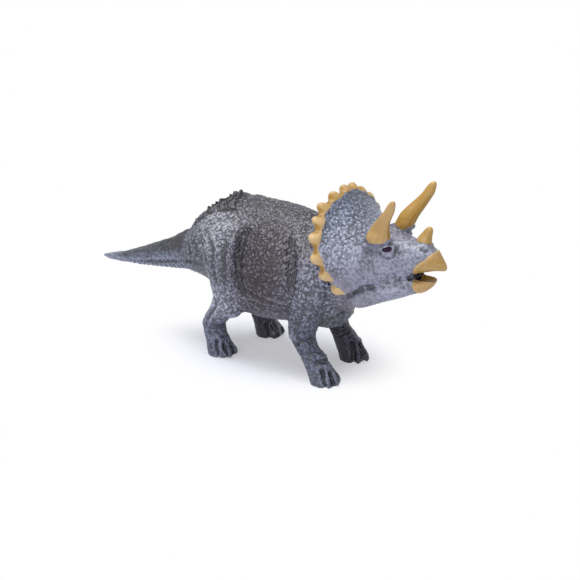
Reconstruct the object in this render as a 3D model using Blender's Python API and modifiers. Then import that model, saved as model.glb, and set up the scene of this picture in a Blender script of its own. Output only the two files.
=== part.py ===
"""A toy horned dinosaur on four feet, built the way such a figure is moulded.

The body is a hollow soft-plastic moulding. The tail, the head and the four legs are separate
mouldings that plug into it, the lower jaw plugs into the head, and the horns, the two halves of
the beak and the scalloped frill edge are ochre inserts seated in the head. Nothing turns: every
joint is a glued plug in a fitted socket. Lengths are in metres, +X is forwards and +Z is up.
"""

import math

import bmesh
import bpy
from mathutils import Matrix, Vector

MM = 0.001

# Clearances and overruns
SEAM_GAP = 0.3 * MM
CUT_OVERRUN = 4.0 * MM

# Body
TORSO_LENGTH = 106.0 * MM
TORSO_WIDTH = 60.0 * MM
BACK_HEIGHT = 97.0 * MM
BODY_WALL = 3.2 * MM
TAIL_SEAM_SHARE = -0.472
NECK_TILT_DEG = 15.0
PEAR_SHARE = 0.13

# Along, width, top and bottom, as shares of torso length, torso width and back height, then the
# share of the neck's tilt that the section has
TORSO_SHARES = (
    (0.000, 0.440, 0.742, 0.459, 0.00),
    (0.047, 0.530, 0.804, 0.455, 0.00),
    (0.113, 0.640, 0.872, 0.445, 0.00),
    (0.208, 0.755, 0.938, 0.415, 0.00),
    (0.321, 0.820, 0.984, 0.325, 0.00),
    (0.453, 0.920, 1.000, 0.258, 0.00),
    (0.585, 1.000, 0.984, 0.255, 0.00),
    (0.717, 0.960, 0.958, 0.268, 0.10),
    (0.830, 0.830, 0.940, 0.262, 0.35),
    (0.920, 0.745, 0.925, 0.272, 0.68),
    (1.000, 0.690, 0.907, 0.392, 1.00),
)

# Tail
TAIL_LENGTH = 68.0 * MM
TAIL_SPIGOT_LENGTH = 9.0 * MM
TAIL_SPIGOT_WIDTH = 14.0 * MM
TAIL_SPIGOT_HEIGHT = 15.0 * MM

# Along, width, top and bottom, as shares of tail length, torso width and back height
TAIL_SHARES = (
    (0.090, 0.375, 0.701, 0.452),
    (0.205, 0.310, 0.652, 0.442),
    (0.350, 0.250, 0.605, 0.433),
    (0.560, 0.180, 0.543, 0.421),
    (0.765, 0.105, 0.478, 0.416),
    (0.900, 0.055, 0.449, 0.415),
    (1.000, 0.014, 0.434, 0.424),
)

# Crest of flat spines along the tail root and the hips
CREST_SPINES = 14
CREST_START_SHARE = 0.02
CREST_END_SHARE = 0.36
CREST_SPINE_HEIGHT = 5.6 * MM
CREST_SPINE_DEPTH = 5.6 * MM
CREST_SPINE_WIDTH = 3.4 * MM
CREST_LEAN_DEG = 20.0
CREST_TAPER_SHARE = 0.35
CREST_TIP_SHARE = 0.40

# Legs. Their heights are shares of the back's, because each leg's top lies on the body's flank
HIND_LEG_HEIGHT_SHARE = 0.8866
HIND_LEG_DEPTH = 36.0 * MM
HIND_LEG_WIDTH = 22.0 * MM
FORE_LEG_HEIGHT_SHARE = 0.7938
FORE_LEG_DEPTH = 27.0 * MM
FORE_LEG_WIDTH = 19.0 * MM
LEG_POWER = 2.2
HIP_ALONG_SHARE = 0.340
SHOULDER_ALONG_SHARE = 0.875
HIP_OUT_SHARE = 0.583
SHOULDER_OUT_SHARE = 0.580

# Height, forward and depth and width, as shares of leg height, leg height, leg depth, leg width
HIND_LEG_SHARES = (
    (0.000, -0.018, 0.450, 0.690),
    (0.047, -0.025, 0.465, 0.710),
    (0.105, -0.043, 0.420, 0.655),
    (0.163, -0.070, 0.400, 0.610),
    (0.233, -0.084, 0.415, 0.620),
    (0.291, -0.046, 0.490, 0.680),
    (0.349, 0.011, 0.610, 0.760),
    (0.442, 0.082, 0.820, 0.900),
    (0.558, 0.084, 1.000, 1.000),
    (0.674, 0.048, 1.060, 1.030),
    (0.791, 0.026, 1.030, 0.980),
    (0.895, 0.028, 0.850, 0.820),
    (0.965, 0.036, 0.580, 0.540),
    (1.000, 0.045, 0.240, 0.220),
)
FORE_LEG_SHARES = (
    (0.000, 0.140, 0.600, 0.790),
    (0.052, 0.127, 0.600, 0.800),
    (0.117, 0.081, 0.535, 0.715),
    (0.182, 0.037, 0.505, 0.675),
    (0.260, -0.022, 0.520, 0.695),
    (0.338, -0.069, 0.570, 0.735),
    (0.416, -0.064, 0.650, 0.800),
    (0.520, -0.047, 0.790, 0.905),
    (0.650, -0.020, 0.950, 1.000),
    (0.780, -0.001, 1.000, 1.000),
    (0.883, 0.001, 0.880, 0.880),
    (0.961, -0.001, 0.620, 0.620),
    (1.000, 0.000, 0.270, 0.260),
)

# Plugs with a soft flange that is pushed through the body's wall
HIND_PLUG_DIAMETER = 13.0 * MM
FORE_PLUG_DIAMETER = 11.0 * MM
FLANGE_RIM = 2.0 * MM
FLANGE_THICKNESS = 2.0 * MM
FLANGE_SEAT_SHARE = 0.79
LEG_SKIN = 1.6 * MM
HIND_PLUG_HEIGHT_SHARE = 0.66
FORE_PLUG_HEIGHT_SHARE = 0.77
STRIDE_REACH_SHARE = 0.75

# The step: how far the left hind foot and the right forefoot are set forward, and the other two
# back. Then how far each foot stands outside its own hip or shoulder
HIND_STRIDE = 4.5 * MM
FORE_STRIDE = 1.25 * MM
RIGHT_HIND_SPREAD = -2.0 * MM
LEFT_HIND_SPREAD = 8.0 * MM
RIGHT_FORE_SPREAD = 6.2 * MM
LEFT_FORE_SPREAD = -0.7 * MM

# Toes
TOE_REACH = 10.8 * MM
TOE_SIDE_REACH = 8.4 * MM
TOE_HEIGHT = 13.0 * MM
TOE_WIDTH = 7.6 * MM
TOE_DEPTH_SHARE = 1.25
HIND_TOE_DIRECTIONS_DEG = (-72.0, -26.0, 20.0, 66.0)
FORE_TOE_DIRECTIONS_DEG = (-84.0, -45.0, -6.0, 33.0, 72.0)

# Height, reach and width of a toe's sections, as shares of toe height, reach and width
TOE_SHARES = (
    (0.00, 0.94, 0.84),
    (0.14, 1.00, 1.00),
    (0.34, 0.95, 0.96),
    (0.58, 0.72, 0.78),
    (0.82, 0.48, 0.62),
    (1.00, 0.34, 0.40),
)

# Head, measured from the centre of the neck seam
HEAD_LENGTH = 62.8 * MM
HEAD_WIDTH = 42.0 * MM
HEAD_HEIGHT = 50.0 * MM
NECK_SPIGOT_LENGTH = 9.0 * MM
NECK_SPIGOT_WIDTH = 19.0 * MM
NECK_SPIGOT_HEIGHT = 26.0 * MM

# Along, width, top and bottom, as shares of head length, width and height. Heights count from
# the seam's centre, and the first section is the seam's own
SKULL_POWER = 2.6
JAW_POWER = 2.3
SKULL_SHARES = (
    (0.150, 1.000, 0.515, -0.300),
    (0.290, 0.960, 0.525, -0.190),
    (0.415, 0.870, 0.530, -0.120),
    (0.540, 0.720, 0.500, -0.040),
    (0.650, 0.560, 0.470, 0.050),
    (0.745, 0.440, 0.470, 0.140),
    (0.830, 0.330, 0.440, 0.205),
    (0.898, 0.215, 0.370, 0.225),
    (0.945, 0.105, 0.300, 0.228),
    (0.965, 0.030, 0.262, 0.232),
)
JAW_SHARES = (
    (0.160, 0.860, 0.080, -0.410),
    (0.290, 0.850, 0.080, -0.335),
    (0.415, 0.800, 0.090, -0.270),
    (0.540, 0.680, 0.095, -0.200),
    (0.650, 0.530, 0.085, -0.150),
    (0.735, 0.410, 0.060, -0.118),
    (0.805, 0.300, 0.066, -0.080),
    (0.862, 0.165, 0.085, -0.010),
    (0.888, 0.050, 0.096, 0.055),
)

# Frill. Each row is one place along the rim, from the top centre down the right side: out, up
# and forward at the rim, then out, up and forward where the frill meets the face. Out is a
# share of half the frill's width, up of the head's height and forward of the head's length
FRILL_WIDTH = 76.0 * MM
FRILL_THICKNESS = 3.4 * MM
FRILL_SHARES = (
    (0.000, 0.928, -0.035, 0.000, 0.480, 0.360),
    (0.276, 0.900, -0.040, 0.150, 0.490, 0.360),
    (0.600, 0.785, -0.024, 0.300, 0.480, 0.355),
    (0.850, 0.648, -0.014, 0.380, 0.450, 0.355),
    (1.000, 0.500, -0.018, 0.430, 0.370, 0.360),
    (1.013, 0.320, 0.018, 0.455, 0.290, 0.375),
    (0.934, 0.134, 0.080, 0.465, 0.190, 0.400),
    (0.829, -0.030, 0.175, 0.455, 0.090, 0.430),
    (0.776, -0.090, 0.225, 0.425, 0.040, 0.445),
)
FRILL_ROWS_ACROSS = 4
FRILL_BOW = 1.5 * MM
RIM_DEPTH = 5.4 * MM
RIM_WIDTH = 4.6 * MM
SCALLOPS = 15
SCALLOP_HEIGHT = 2.5 * MM
SCALLOP_FILL_SHARE = 0.86

# Horns: sections along the horn as shares of its length and base width
BROW_HORN_LENGTH = 35.0 * MM
BROW_HORN_DEPTH = 14.4 * MM
BROW_HORN_WIDTH = 11.0 * MM
BROW_HORN_ROOT_SHARES = (0.400, 0.670, 0.430)
BROW_HORN_TIP_SHARES = (0.645, 1.140, 1.025)
BROW_HORN_BOW = 2.0 * MM
LEFT_HORN_LEAD = 2.2 * MM
NOSE_HORN_LENGTH = 13.5 * MM
NOSE_HORN_DEPTH = 9.4 * MM
NOSE_HORN_WIDTH = 7.0 * MM
NOSE_HORN_BOW = 0.6 * MM
NOSE_HORN_ROOT_SHARES = (0.745, 0.000, 0.370)
NOSE_HORN_TIP_SHARES = (0.812, 0.000, 0.640)
HORN_SHARES = (
    (0.00, 0.36),
    (0.10, 0.80),
    (0.20, 1.00),
    (0.35, 0.86),
    (0.52, 0.68),
    (0.70, 0.50),
    (0.86, 0.36),
    (0.95, 0.26),
    (1.00, 0.10),
)
BLUNT_HORN_SHARES = (
    (0.00, 0.44),
    (0.20, 0.86),
    (0.40, 0.92),
    (0.62, 0.74),
    (0.82, 0.58),
    (0.94, 0.40),
    (1.00, 0.12),
)

# Horn bosses, eyes and nostrils, as places in head shares
BROW_BOSS_LENGTH = 16.0 * MM
BROW_BOSS_WIDTH = 12.0 * MM
BROW_BOSS_HEIGHT = 9.0 * MM
BROW_BOSS_SHARES = (0.395, 0.650, 0.445)
EYE_DIAMETER = 6.4 * MM
EYE_SHARES = (0.528, 0.660, 0.410)
LID_THICKNESS = 1.8 * MM
LID_SEAT_SHARE = 0.25
EYE_TURN_DEG = 12.0
NOSTRIL_LENGTH = 4.4 * MM
NOSTRIL_WIDTH = 3.0 * MM
NOSTRIL_HEIGHT = 1.9 * MM
NOSTRIL_SHARES = (0.800, 0.380, 0.385)

# Mouth and beak
MOUTH_CENTRE_SHARES = (0.800, 0.105)
MOUTH_LENGTH = 26.0 * MM
MOUTH_WIDTH = 12.0 * MM
MOUTH_HEIGHT = 9.0 * MM
MOUTH_TILT_DEG = 8.0
BEAK_CENTRE_SHARES = (0.978, 0.090)
BEAK_RADIUS = 16.8 * MM
BEAK_STEP = 0.5 * MM
BEAK_PEG_DIAMETER = 3.4 * MM
BEAK_PEG_LENGTH = 6.0 * MM
UPPER_PEG_SHARES = (0.745, 0.240)
LOWER_PEG_SHARES = (0.745, -0.054)
JAW_PEG_SHARES = (0.330, -0.240)
JAW_PEG_LENGTH = 6.0 * MM
JAW_PEG_WIDTH = 14.0 * MM
JAW_PEG_DEPTH = 8.0 * MM

# Facets
BODY_SIDES = 24
CAVITY_SIDES = 16
TAIL_SIDES = 20
LEG_SIDES = 16
TOE_SIDES = 8
HORN_SIDES = 12
RIM_SIDES = 8
BEAK_SIDES = 30
PLUG_SIDES = 16

# Colours of the moulded parts, as red, green and blue
SLATE = (0.165, 0.165, 0.205)
PALE_SLATE = (0.270, 0.285, 0.345)
DARK_SLATE = (0.085, 0.090, 0.110)
OCHRE = (0.560, 0.335, 0.095)
SKIN_COLOURS = {
    "head": PALE_SLATE,
    "lower_jaw": PALE_SLATE,
    "tail": PALE_SLATE,
    "left_foreleg": DARK_SLATE,
    "left_hind_leg": DARK_SLATE,
}
SKIN_ROUGHNESS = 0.55
OCHRE_ROUGHNESS = 0.40


def blended(rows, steps):
    """The rows of a table with steps - 1 rows between each pair, on a smooth curve through them."""
    out = []
    for i in range(len(rows) - 1):
        before = rows[max(i - 1, 0)]
        start, end = rows[i], rows[i + 1]
        after = rows[min(i + 2, len(rows) - 1)]
        for step in range(steps):
            t = step / steps
            out.append(
                tuple(
                    0.5
                    * (
                        2 * b
                        + (c - a) * t
                        + (2 * a - 5 * b + 4 * c - d) * t**2
                        + (3 * b - a - 3 * c + d) * t**3
                    )
                    for a, b, c, d in zip(before, start, end, after)
                )
            )
    out.append(tuple(rows[-1]))
    return out


def ring(centre, across, up, half_across, half_up, sides, power=2.0, pear=0.0):
    """Points of an oval in the plane of across and up. A power above 2 makes it squarer, and a
    pear above 0 narrows its upper half."""
    points = []
    for i in range(sides):
        angle = 2 * math.pi * i / sides
        sine, cosine = math.sin(angle), math.cos(angle)
        wide = math.copysign(abs(sine) ** (2 / power), sine) * (1 - pear * cosine)
        high = math.copysign(abs(cosine) ** (2 / power), cosine)
        points.append(centre + across * (half_across * wide) + up * (half_up * high))
    return points


def add_object(name, mesh_data):
    obj = bpy.data.objects.new(name, mesh_data)
    bpy.context.scene.collection.objects.link(obj)
    return obj


def loft(name, rings):
    """A closed skin of flat triangles through rings of equal count, with flat ends."""
    bm = bmesh.new()
    loops = []
    for points in rings:
        verts = [bm.verts.new(p) for p in points]
        edges = [bm.edges.new((a, b)) for a, b in zip(verts, verts[1:] + verts[:1])]
        loops.append(edges)
    for lower, upper in zip(loops, loops[1:]):
        bmesh.ops.bridge_loops(bm, edges=lower + upper)
    bmesh.ops.holes_fill(bm, edges=bm.edges[:], sides=0)
    bmesh.ops.triangulate(bm, faces=[f for f in bm.faces if len(f.verts) == 4])
    bmesh.ops.recalc_face_normals(bm, faces=bm.faces[:])
    mesh = bpy.data.meshes.new(name)
    bm.to_mesh(mesh)
    bm.free()
    return add_object(name, mesh)


def ellipsoid(name, centre, sizes, turn=None, segments=16, rings=10):
    """A ball of the given whole sizes along its own axes, turned and placed."""
    bm = bmesh.new()
    bmesh.ops.create_uvsphere(bm, u_segments=segments, v_segments=rings, radius=0.5)
    matrix = Matrix.Translation(centre) @ (turn or Matrix.Identity(4)) @ Matrix.Diagonal((*sizes, 1))
    bmesh.ops.transform(bm, matrix=matrix, verts=bm.verts[:])
    mesh = bpy.data.meshes.new(name)
    bm.to_mesh(mesh)
    bm.free()
    return add_object(name, mesh)


def box(name, low, high):
    """A box between two corners."""
    bm = bmesh.new()
    bmesh.ops.create_cube(bm, size=1.0)
    sizes = Vector(high) - Vector(low)
    matrix = Matrix.Translation((Vector(high) + Vector(low)) / 2) @ Matrix.Diagonal((*sizes, 1))
    bmesh.ops.transform(bm, matrix=matrix, verts=bm.verts[:])
    mesh = bpy.data.meshes.new(name)
    bm.to_mesh(mesh)
    bm.free()
    return add_object(name, mesh)


def copied(obj, name):
    return add_object(name, obj.data.copy())


def combine(obj, other, operation):
    """Joins, cuts or intersects obj with other, and removes other."""
    modifier = obj.modifiers.new("Combine", "BOOLEAN")
    modifier.operation = operation
    modifier.solver = "EXACT"
    modifier.object = other
    bpy.context.view_layer.update()
    graph = bpy.context.evaluated_depsgraph_get()
    mesh = bpy.data.meshes.new_from_object(obj.evaluated_get(graph))
    obj.modifiers.clear()
    obj.data = mesh
    bpy.data.objects.remove(other)
    return obj


def span(verts):
    """The volume of the box round some vertices."""
    sides = [max(v.co[i] for v in verts) - min(v.co[i] for v in verts) for i in range(3)]
    return math.prod(sides)


def keep_largest(obj):
    """Leaves only the largest body, without the crumbs that a cut can leave."""
    bm = bmesh.new()
    bm.from_mesh(obj.data)
    unseen = set(bm.verts)
    islands = []
    while unseen:
        stack = [unseen.pop()]
        island = set(stack)
        while stack:
            for edge in stack.pop().link_edges:
                for vert in edge.verts:
                    if vert in unseen:
                        unseen.discard(vert)
                        island.add(vert)
                        stack.append(vert)
        islands.append(island)
    islands.sort(key=span)
    for island in islands[:-1]:
        bmesh.ops.delete(bm, geom=list(island), context="VERTS")
    bm.to_mesh(obj.data)
    bm.free()
    return obj


def grown(obj, distance, name):
    """A copy whose every face is moved out by the distance, or in if it is negative."""
    copy = add_object(name, obj.data.copy())
    bm = bmesh.new()
    bm.from_mesh(copy.data)
    bm.normal_update()
    places = [v.co + v.normal * (distance * v.calc_shell_factor()) for v in bm.verts]
    for vert, place in zip(bm.verts, places):
        vert.co = place
    bm.to_mesh(copy.data)
    bm.free()
    return copy


def sections_to_rings(sections, sides, power=2.0, pear=0.0):
    """Rings across the body from (along, half width, top, bottom, tilt in radians)."""
    rings = []
    for along, half_width, top, bottom, tilt in sections:
        half_height = (top - bottom) / 2 / math.cos(tilt)
        centre = Vector((along, 0, (top + bottom) / 2))
        up = Vector((-math.sin(tilt), 0, math.cos(tilt)))
        rings.append(ring(centre, Vector((0, -1, 0)), up, half_width, half_height, sides, power, pear))
    return rings


def along_torso(share):
    return (share + TAIL_SEAM_SHARE) * TORSO_LENGTH


def torso_sections():
    tilt = math.radians(NECK_TILT_DEG)
    return [
        (along_torso(a), w * TORSO_WIDTH / 2, t * BACK_HEIGHT, b * BACK_HEIGHT, share * tilt)
        for a, w, t, b, share in TORSO_SHARES
    ]


def torso_half_width(share):
    """Half the torso's width at a place along it."""
    for (a, w, *_), (b, v, *_) in zip(TORSO_SHARES, TORSO_SHARES[1:]):
        if a <= share <= b:
            return (w + (v - w) * (share - a) / (b - a)) * TORSO_WIDTH / 2
    return TORSO_SHARES[-1][1] * TORSO_WIDTH / 2


def moved_along(section, distance):
    """The same section, moved square to its own plane."""
    along, half_width, top, bottom, tilt = section
    rise = distance * math.sin(tilt)
    return (along + distance * math.cos(tilt), half_width, top + rise, bottom + rise, tilt)


NECK = torso_sections()[-1]
RUMP = torso_sections()[0]
NECK_CENTRE = Vector((NECK[0], 0, (NECK[2] + NECK[3]) / 2))


def in_head(along, out, up):
    """A place given in shares of head length, half head width and head height."""
    shares = Vector((along * HEAD_LENGTH, -out * HEAD_WIDTH / 2, up * HEAD_HEIGHT))
    return NECK_CENTRE + shares


def head_sections(rows):
    """The seam's own section, then the rows of a table of head shares."""
    sections = [moved_along(NECK, SEAM_GAP / 2)]
    for along, width, top, bottom in rows:
        sections.append(
            (
                in_head(along, 0, 0).x,
                width * HEAD_WIDTH / 2,
                in_head(0, 0, top).z,
                in_head(0, 0, bottom).z,
                0.0,
            )
        )
    return sections


def oval_plug(name, start, end, width, height):
    """A round-ended bar of oval section between two points, with the height nearest to upright."""
    axis = (end - start).normalized()
    across = axis.cross(Vector((0, 0, 1))).normalized()
    up = across.cross(axis)
    rings = [ring(p, across, up, width / 2, height / 2, PLUG_SIDES) for p in (start, end)]
    return loft(name, rings)


def plug_hole(socket, start, end, width, height):
    """Cuts the clearance hole for an oval plug."""
    axis = (end - start).normalized() * SEAM_GAP
    grown_width = width + 2 * SEAM_GAP
    grown_height = height + 2 * SEAM_GAP
    hole = oval_plug("hole", start - axis, end + axis, grown_width, grown_height)
    return combine(socket, hole, "DIFFERENCE")


def build_torso():
    """The hollow body with its crest, before any plug's hole is cut. Also its plain skin."""
    sections = torso_sections()
    sections[0] = moved_along(RUMP, SEAM_GAP / 2)
    sections[-1] = moved_along(NECK, -SEAM_GAP / 2)
    rings = sections_to_rings(blended(sections, 2), BODY_SIDES, pear=PEAR_SHARE)
    skin = loft("skin", rings)
    torso = copied(skin, "torso")
    profile = blended(torso_sections(), 8)
    for i in range(CREST_SPINES):
        t = i / (CREST_SPINES - 1)
        along = along_torso(CREST_START_SHARE + t * (CREST_END_SHARE - CREST_START_SHARE))
        nearest = min(profile, key=lambda section: abs(section[0] - along))
        combine(torso, spine(Vector((along, 0, nearest[2])), t), "UNION")
    plain = loft("plain", sections_to_rings(sections, CAVITY_SIDES, pear=PEAR_SHARE))
    combine(torso, grown(plain, -BODY_WALL, "cavity"), "DIFFERENCE")
    bpy.data.objects.remove(plain)
    return torso, skin


def spine(base, t):
    """One flat spine of the crest, rooted in the back. The middle ones stand a little higher."""
    height = CREST_SPINE_HEIGHT * (1 - CREST_TAPER_SHARE * (2 * t - 1) ** 2)
    bm = bmesh.new()
    bmesh.ops.create_cone(
        bm, cap_ends=True, segments=5, radius1=0.5, radius2=CREST_TIP_SHARE / 2, depth=1.0
    )
    sizes = Matrix.Diagonal((CREST_SPINE_DEPTH, CREST_SPINE_WIDTH, height, 1))
    lean = Matrix.Rotation(math.radians(-CREST_LEAN_DEG), 4, "Y")
    bmesh.ops.transform(bm, matrix=Matrix.Translation(base) @ lean @ sizes, verts=bm.verts[:])
    mesh = bpy.data.meshes.new("spine")
    bm.to_mesh(mesh)
    bm.free()
    return add_object("spine", mesh)


def build_tail():
    """The tail and its spigot."""
    sections = [moved_along(RUMP, -SEAM_GAP / 2)]
    for along, width, top, bottom in TAIL_SHARES:
        place = RUMP[0] - along * TAIL_LENGTH
        sections.append(
            (place, width * TORSO_WIDTH / 2, top * BACK_HEIGHT, bottom * BACK_HEIGHT, 0)
        )
    tail = loft("tail", sections_to_rings(sections, TAIL_SIDES, pear=PEAR_SHARE))
    start, end = tail_plug_ends()
    plug = oval_plug("plug", start, end, TAIL_SPIGOT_WIDTH, TAIL_SPIGOT_HEIGHT)
    return combine(tail, plug, "UNION")


def tail_plug_ends():
    centre = Vector((RUMP[0], 0, (RUMP[2] + RUMP[3]) / 2))
    reach = Vector((TAIL_SPIGOT_LENGTH, 0, 0))
    return centre - reach / 2, centre + reach


def neck_plug_ends():
    tilt = math.radians(NECK_TILT_DEG)
    axis = Vector((math.cos(tilt), 0, math.sin(tilt)))
    reach = axis * NECK_SPIGOT_LENGTH
    return NECK_CENTRE + reach / 2, NECK_CENTRE - reach


class Leg:
    """The sizes of one leg. Its stride and its spread move the foot, and fade towards the root."""

    def __init__(self, name, side, kind, stride, spread):
        self.name = name
        self.side = side
        hind = kind == "hind"
        self.rows = HIND_LEG_SHARES if hind else FORE_LEG_SHARES
        self.height = (HIND_LEG_HEIGHT_SHARE if hind else FORE_LEG_HEIGHT_SHARE) * BACK_HEIGHT
        self.depth = HIND_LEG_DEPTH if hind else FORE_LEG_DEPTH
        self.width = HIND_LEG_WIDTH if hind else FORE_LEG_WIDTH
        self.root_share = HIP_ALONG_SHARE if hind else SHOULDER_ALONG_SHARE
        self.out = (HIP_OUT_SHARE if hind else SHOULDER_OUT_SHARE) * TORSO_WIDTH / 2
        self.directions = HIND_TOE_DIRECTIONS_DEG if hind else FORE_TOE_DIRECTIONS_DEG
        self.plug_diameter = HIND_PLUG_DIAMETER if hind else FORE_PLUG_DIAMETER
        self.plug_height_share = HIND_PLUG_HEIGHT_SHARE if hind else FORE_PLUG_HEIGHT_SHARE
        self.stride = stride
        self.spread = spread

    def centre(self, height_share, forward_share):
        """The middle of the leg's section at a share of its height."""
        climb = min(height_share / STRIDE_REACH_SHARE, 1)
        fade = 1 - climb * climb * (3 - 2 * climb)
        return Vector(
            (
                along_torso(self.root_share) + forward_share * self.height + self.stride * fade,
                self.side * (self.out + self.spread * fade),
                height_share * self.height,
            )
        )

    def foot(self):
        return self.centre(0, self.rows[0][1])

    def plug_ends(self):
        """The middle of the plug's outer and inner end, and of its flange's outer face."""
        row = min(self.rows, key=lambda r: abs(r[0] - self.plug_height_share))
        middle = self.centre(row[0], row[1])
        half_width = torso_half_width(self.root_share)
        outer = abs(middle.y) + row[3] * self.width / 2 - LEG_SKIN
        flange = half_width * FLANGE_SEAT_SHARE - BODY_WALL - SEAM_GAP
        inner = flange - FLANGE_THICKNESS
        return tuple(
            Vector((middle.x, self.side * y, middle.z)) for y in (outer, inner, flange)
        )


def build_leg(leg, skin):
    """A leg with its toes, cut to the body's skin, with the plug that fixes it in the body."""
    rings = []
    for height, forward, depth, width in leg.rows:
        centre = leg.centre(height, forward)
        rings.append(
            ring(
                centre,
                Vector((0, 1, 0)),
                Vector((1, 0, 0)),
                width * leg.width / 2,
                depth * leg.depth / 2,
                LEG_SIDES,
                LEG_POWER,
            )
        )
    below = [p - Vector((0, 0, CUT_OVERRUN)) for p in rings[0]]
    solid = loft(leg.name, [below] + rings)
    for heading in leg.directions:
        combine(solid, toe(leg.foot(), heading * -leg.side), "UNION")
    reach = leg.foot() + Vector((1, 1, 0)) * (TOE_REACH + leg.depth)
    floor_low = 2 * leg.foot() - reach - Vector((0, 0, 2 * CUT_OVERRUN))
    combine(solid, box("floor", floor_low, reach), "DIFFERENCE")
    combine(solid, grown(skin, SEAM_GAP, "body"), "DIFFERENCE")
    keep_largest(solid)
    return combine(solid, flanged_plug(leg), "UNION")


def flanged_plug(leg):
    """A round plug that ends in a wider flange inside the body."""
    outer, inner, flange = leg.plug_ends()
    radius = leg.plug_diameter / 2
    wide = radius + FLANGE_RIM
    steps = ((outer, radius), (flange, radius), (flange, wide), (inner, wide))
    across, up = Vector((1, 0, 0)), Vector((0, 0, 1))
    return loft("plug", [ring(place, across, up, r, r, PLUG_SIDES) for place, r in steps])


def toe(foot, heading):
    """A stubby toe: upright oval sections, each reaching further out the lower it lies."""
    turn = math.radians(heading)
    ahead = Vector((math.cos(turn), math.sin(turn), 0))
    aside = Vector((-math.sin(turn), math.cos(turn), 0))
    furthest = math.hypot(TOE_REACH * math.cos(turn), TOE_SIDE_REACH * math.sin(turn))
    rings = []
    for height, reach, width in TOE_SHARES:
        half_width = width * TOE_WIDTH / 2
        half_depth = half_width * TOE_DEPTH_SHARE
        centre = foot + ahead * (reach * furthest - half_depth)
        centre.z = height * TOE_HEIGHT
        rings.append(ring(centre, aside, ahead, half_width, half_depth, TOE_SIDES))
    below = [p - Vector((0, 0, CUT_OVERRUN)) for p in rings[0]]
    return loft("toe", [below] + rings)


def frill_rows():
    """The rim and the face end of the frill at each place along it, from right foot to left."""
    right = []
    for out, up, forward, face_out, face_up, face_forward in blended(FRILL_SHARES, 2):
        rim = in_head(forward, 0, up) - Vector((0, out * FRILL_WIDTH / 2, 0))
        face = in_head(face_forward, 0, face_up) - Vector((0, face_out * FRILL_WIDTH / 2, 0))
        right.append((rim, face))
    mirror = Matrix.Diagonal((1, -1, 1))
    left = [(mirror @ rim, mirror @ face) for rim, face in right[1:]]
    return right[::-1] + left


def frill_sheet(rows):
    """The frill's plate, from the skull out into the groove of its rim."""
    bm = bmesh.new()
    lines = []
    for rim, face in rows:
        inward = (face - rim).normalized() * RIM_WIDTH / 2
        edge = rim + inward
        bow = Vector((1, 0, 0)) * FRILL_BOW
        line = []
        for i in range(FRILL_ROWS_ACROSS + 1):
            t = i / FRILL_ROWS_ACROSS
            line.append(bm.verts.new(edge.lerp(face, t) - bow * (4 * t * (1 - t))))
        lines.append([bm.edges.new(pair) for pair in zip(line, line[1:])])
    for first, second in zip(lines, lines[1:]):
        bmesh.ops.bridge_loops(bm, edges=first + second)
    bmesh.ops.triangulate(bm, faces=bm.faces[:])
    bmesh.ops.recalc_face_normals(bm, faces=bm.faces[:])
    mesh = bpy.data.meshes.new("frill")
    bm.to_mesh(mesh)
    bm.free()
    sheet = add_object("frill", mesh)
    modifier = sheet.modifiers.new("Thickness", "SOLIDIFY")
    modifier.thickness = FRILL_THICKNESS
    modifier.offset = 0
    modifier.use_even_offset = True
    bpy.context.view_layer.update()
    graph = bpy.context.evaluated_depsgraph_get()
    sheet.data = bpy.data.meshes.new_from_object(sheet.evaluated_get(graph))
    sheet.modifiers.clear()
    return sheet


def build_rim(rows, plate):
    """The scalloped band round the frill, with the groove that the plate's edge sits in."""
    rings = []
    places = []
    for i, (rim, face) in enumerate(rows):
        before = rows[max(i - 1, 0)][0]
        after = rows[min(i + 1, len(rows) - 1)][0]
        tangent = (after - before).normalized()
        inward = (face - rim).normalized()
        normal = tangent.cross(inward).normalized()
        inward = normal.cross(tangent)
        centre = rim + inward * RIM_WIDTH / 2
        places.append((centre, tangent, inward, normal))
        rings.append(ring(centre, normal, -inward, RIM_DEPTH / 2, RIM_WIDTH / 2, RIM_SIDES))
    band = loft("frill_rim", rings)
    lengths = [0.0]
    for (a, *_), (b, *_) in zip(places, places[1:]):
        lengths.append(lengths[-1] + (b - a).length)
    for i in range(SCALLOPS):
        wanted = (i + 0.5) / SCALLOPS * lengths[-1]
        k = max(j for j, done in enumerate(lengths[:-1]) if done <= wanted)
        t = (wanted - lengths[k]) / (lengths[k + 1] - lengths[k])
        centre = places[k][0].lerp(places[k + 1][0], t)
        tangent, inward, normal = (places[k][j].lerp(places[k + 1][j], t) for j in (1, 2, 3))
        turn = Matrix((tangent, normal, -inward)).transposed().to_4x4()
        size = (lengths[-1] / SCALLOPS * SCALLOP_FILL_SHARE, RIM_DEPTH, 2 * SCALLOP_HEIGHT)
        knob = ellipsoid("scallop", centre - inward * RIM_WIDTH / 2, size, turn, 8, 6)
        combine(band, knob, "UNION")
    combine(band, grown(plate, SEAM_GAP, "groove"), "DIFFERENCE")
    return keep_largest(band)


def horn(name, root, tip, length, depth, width, shares, bow, margin=0.0):
    """A curved horn from its root to its tip. A margin above 0 makes the hole that it sits in."""
    axis = (tip - root).normalized()
    across = axis.cross(Vector((1, 0, 0)))
    across = across.normalized() if across.length > 0 else Vector((0, 1, 0))
    back = across.cross(axis).normalized()
    rings = []
    last = len(shares) - 1
    for i, (along, girth) in enumerate(blended(shares, 2)):
        centre = root + axis * (along * length) - back * (bow * 4 * along * (1 - along))
        half_width = girth * width / 2 + margin
        half_depth = girth * depth / 2 + margin
        if i == 0:
            centre = centre - axis * margin
        if i == 2 * last:
            centre = centre + axis * margin
        rings.append(ring(centre, across, back, half_width, half_depth, HORN_SIDES))
    return loft(name, rings)


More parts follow.
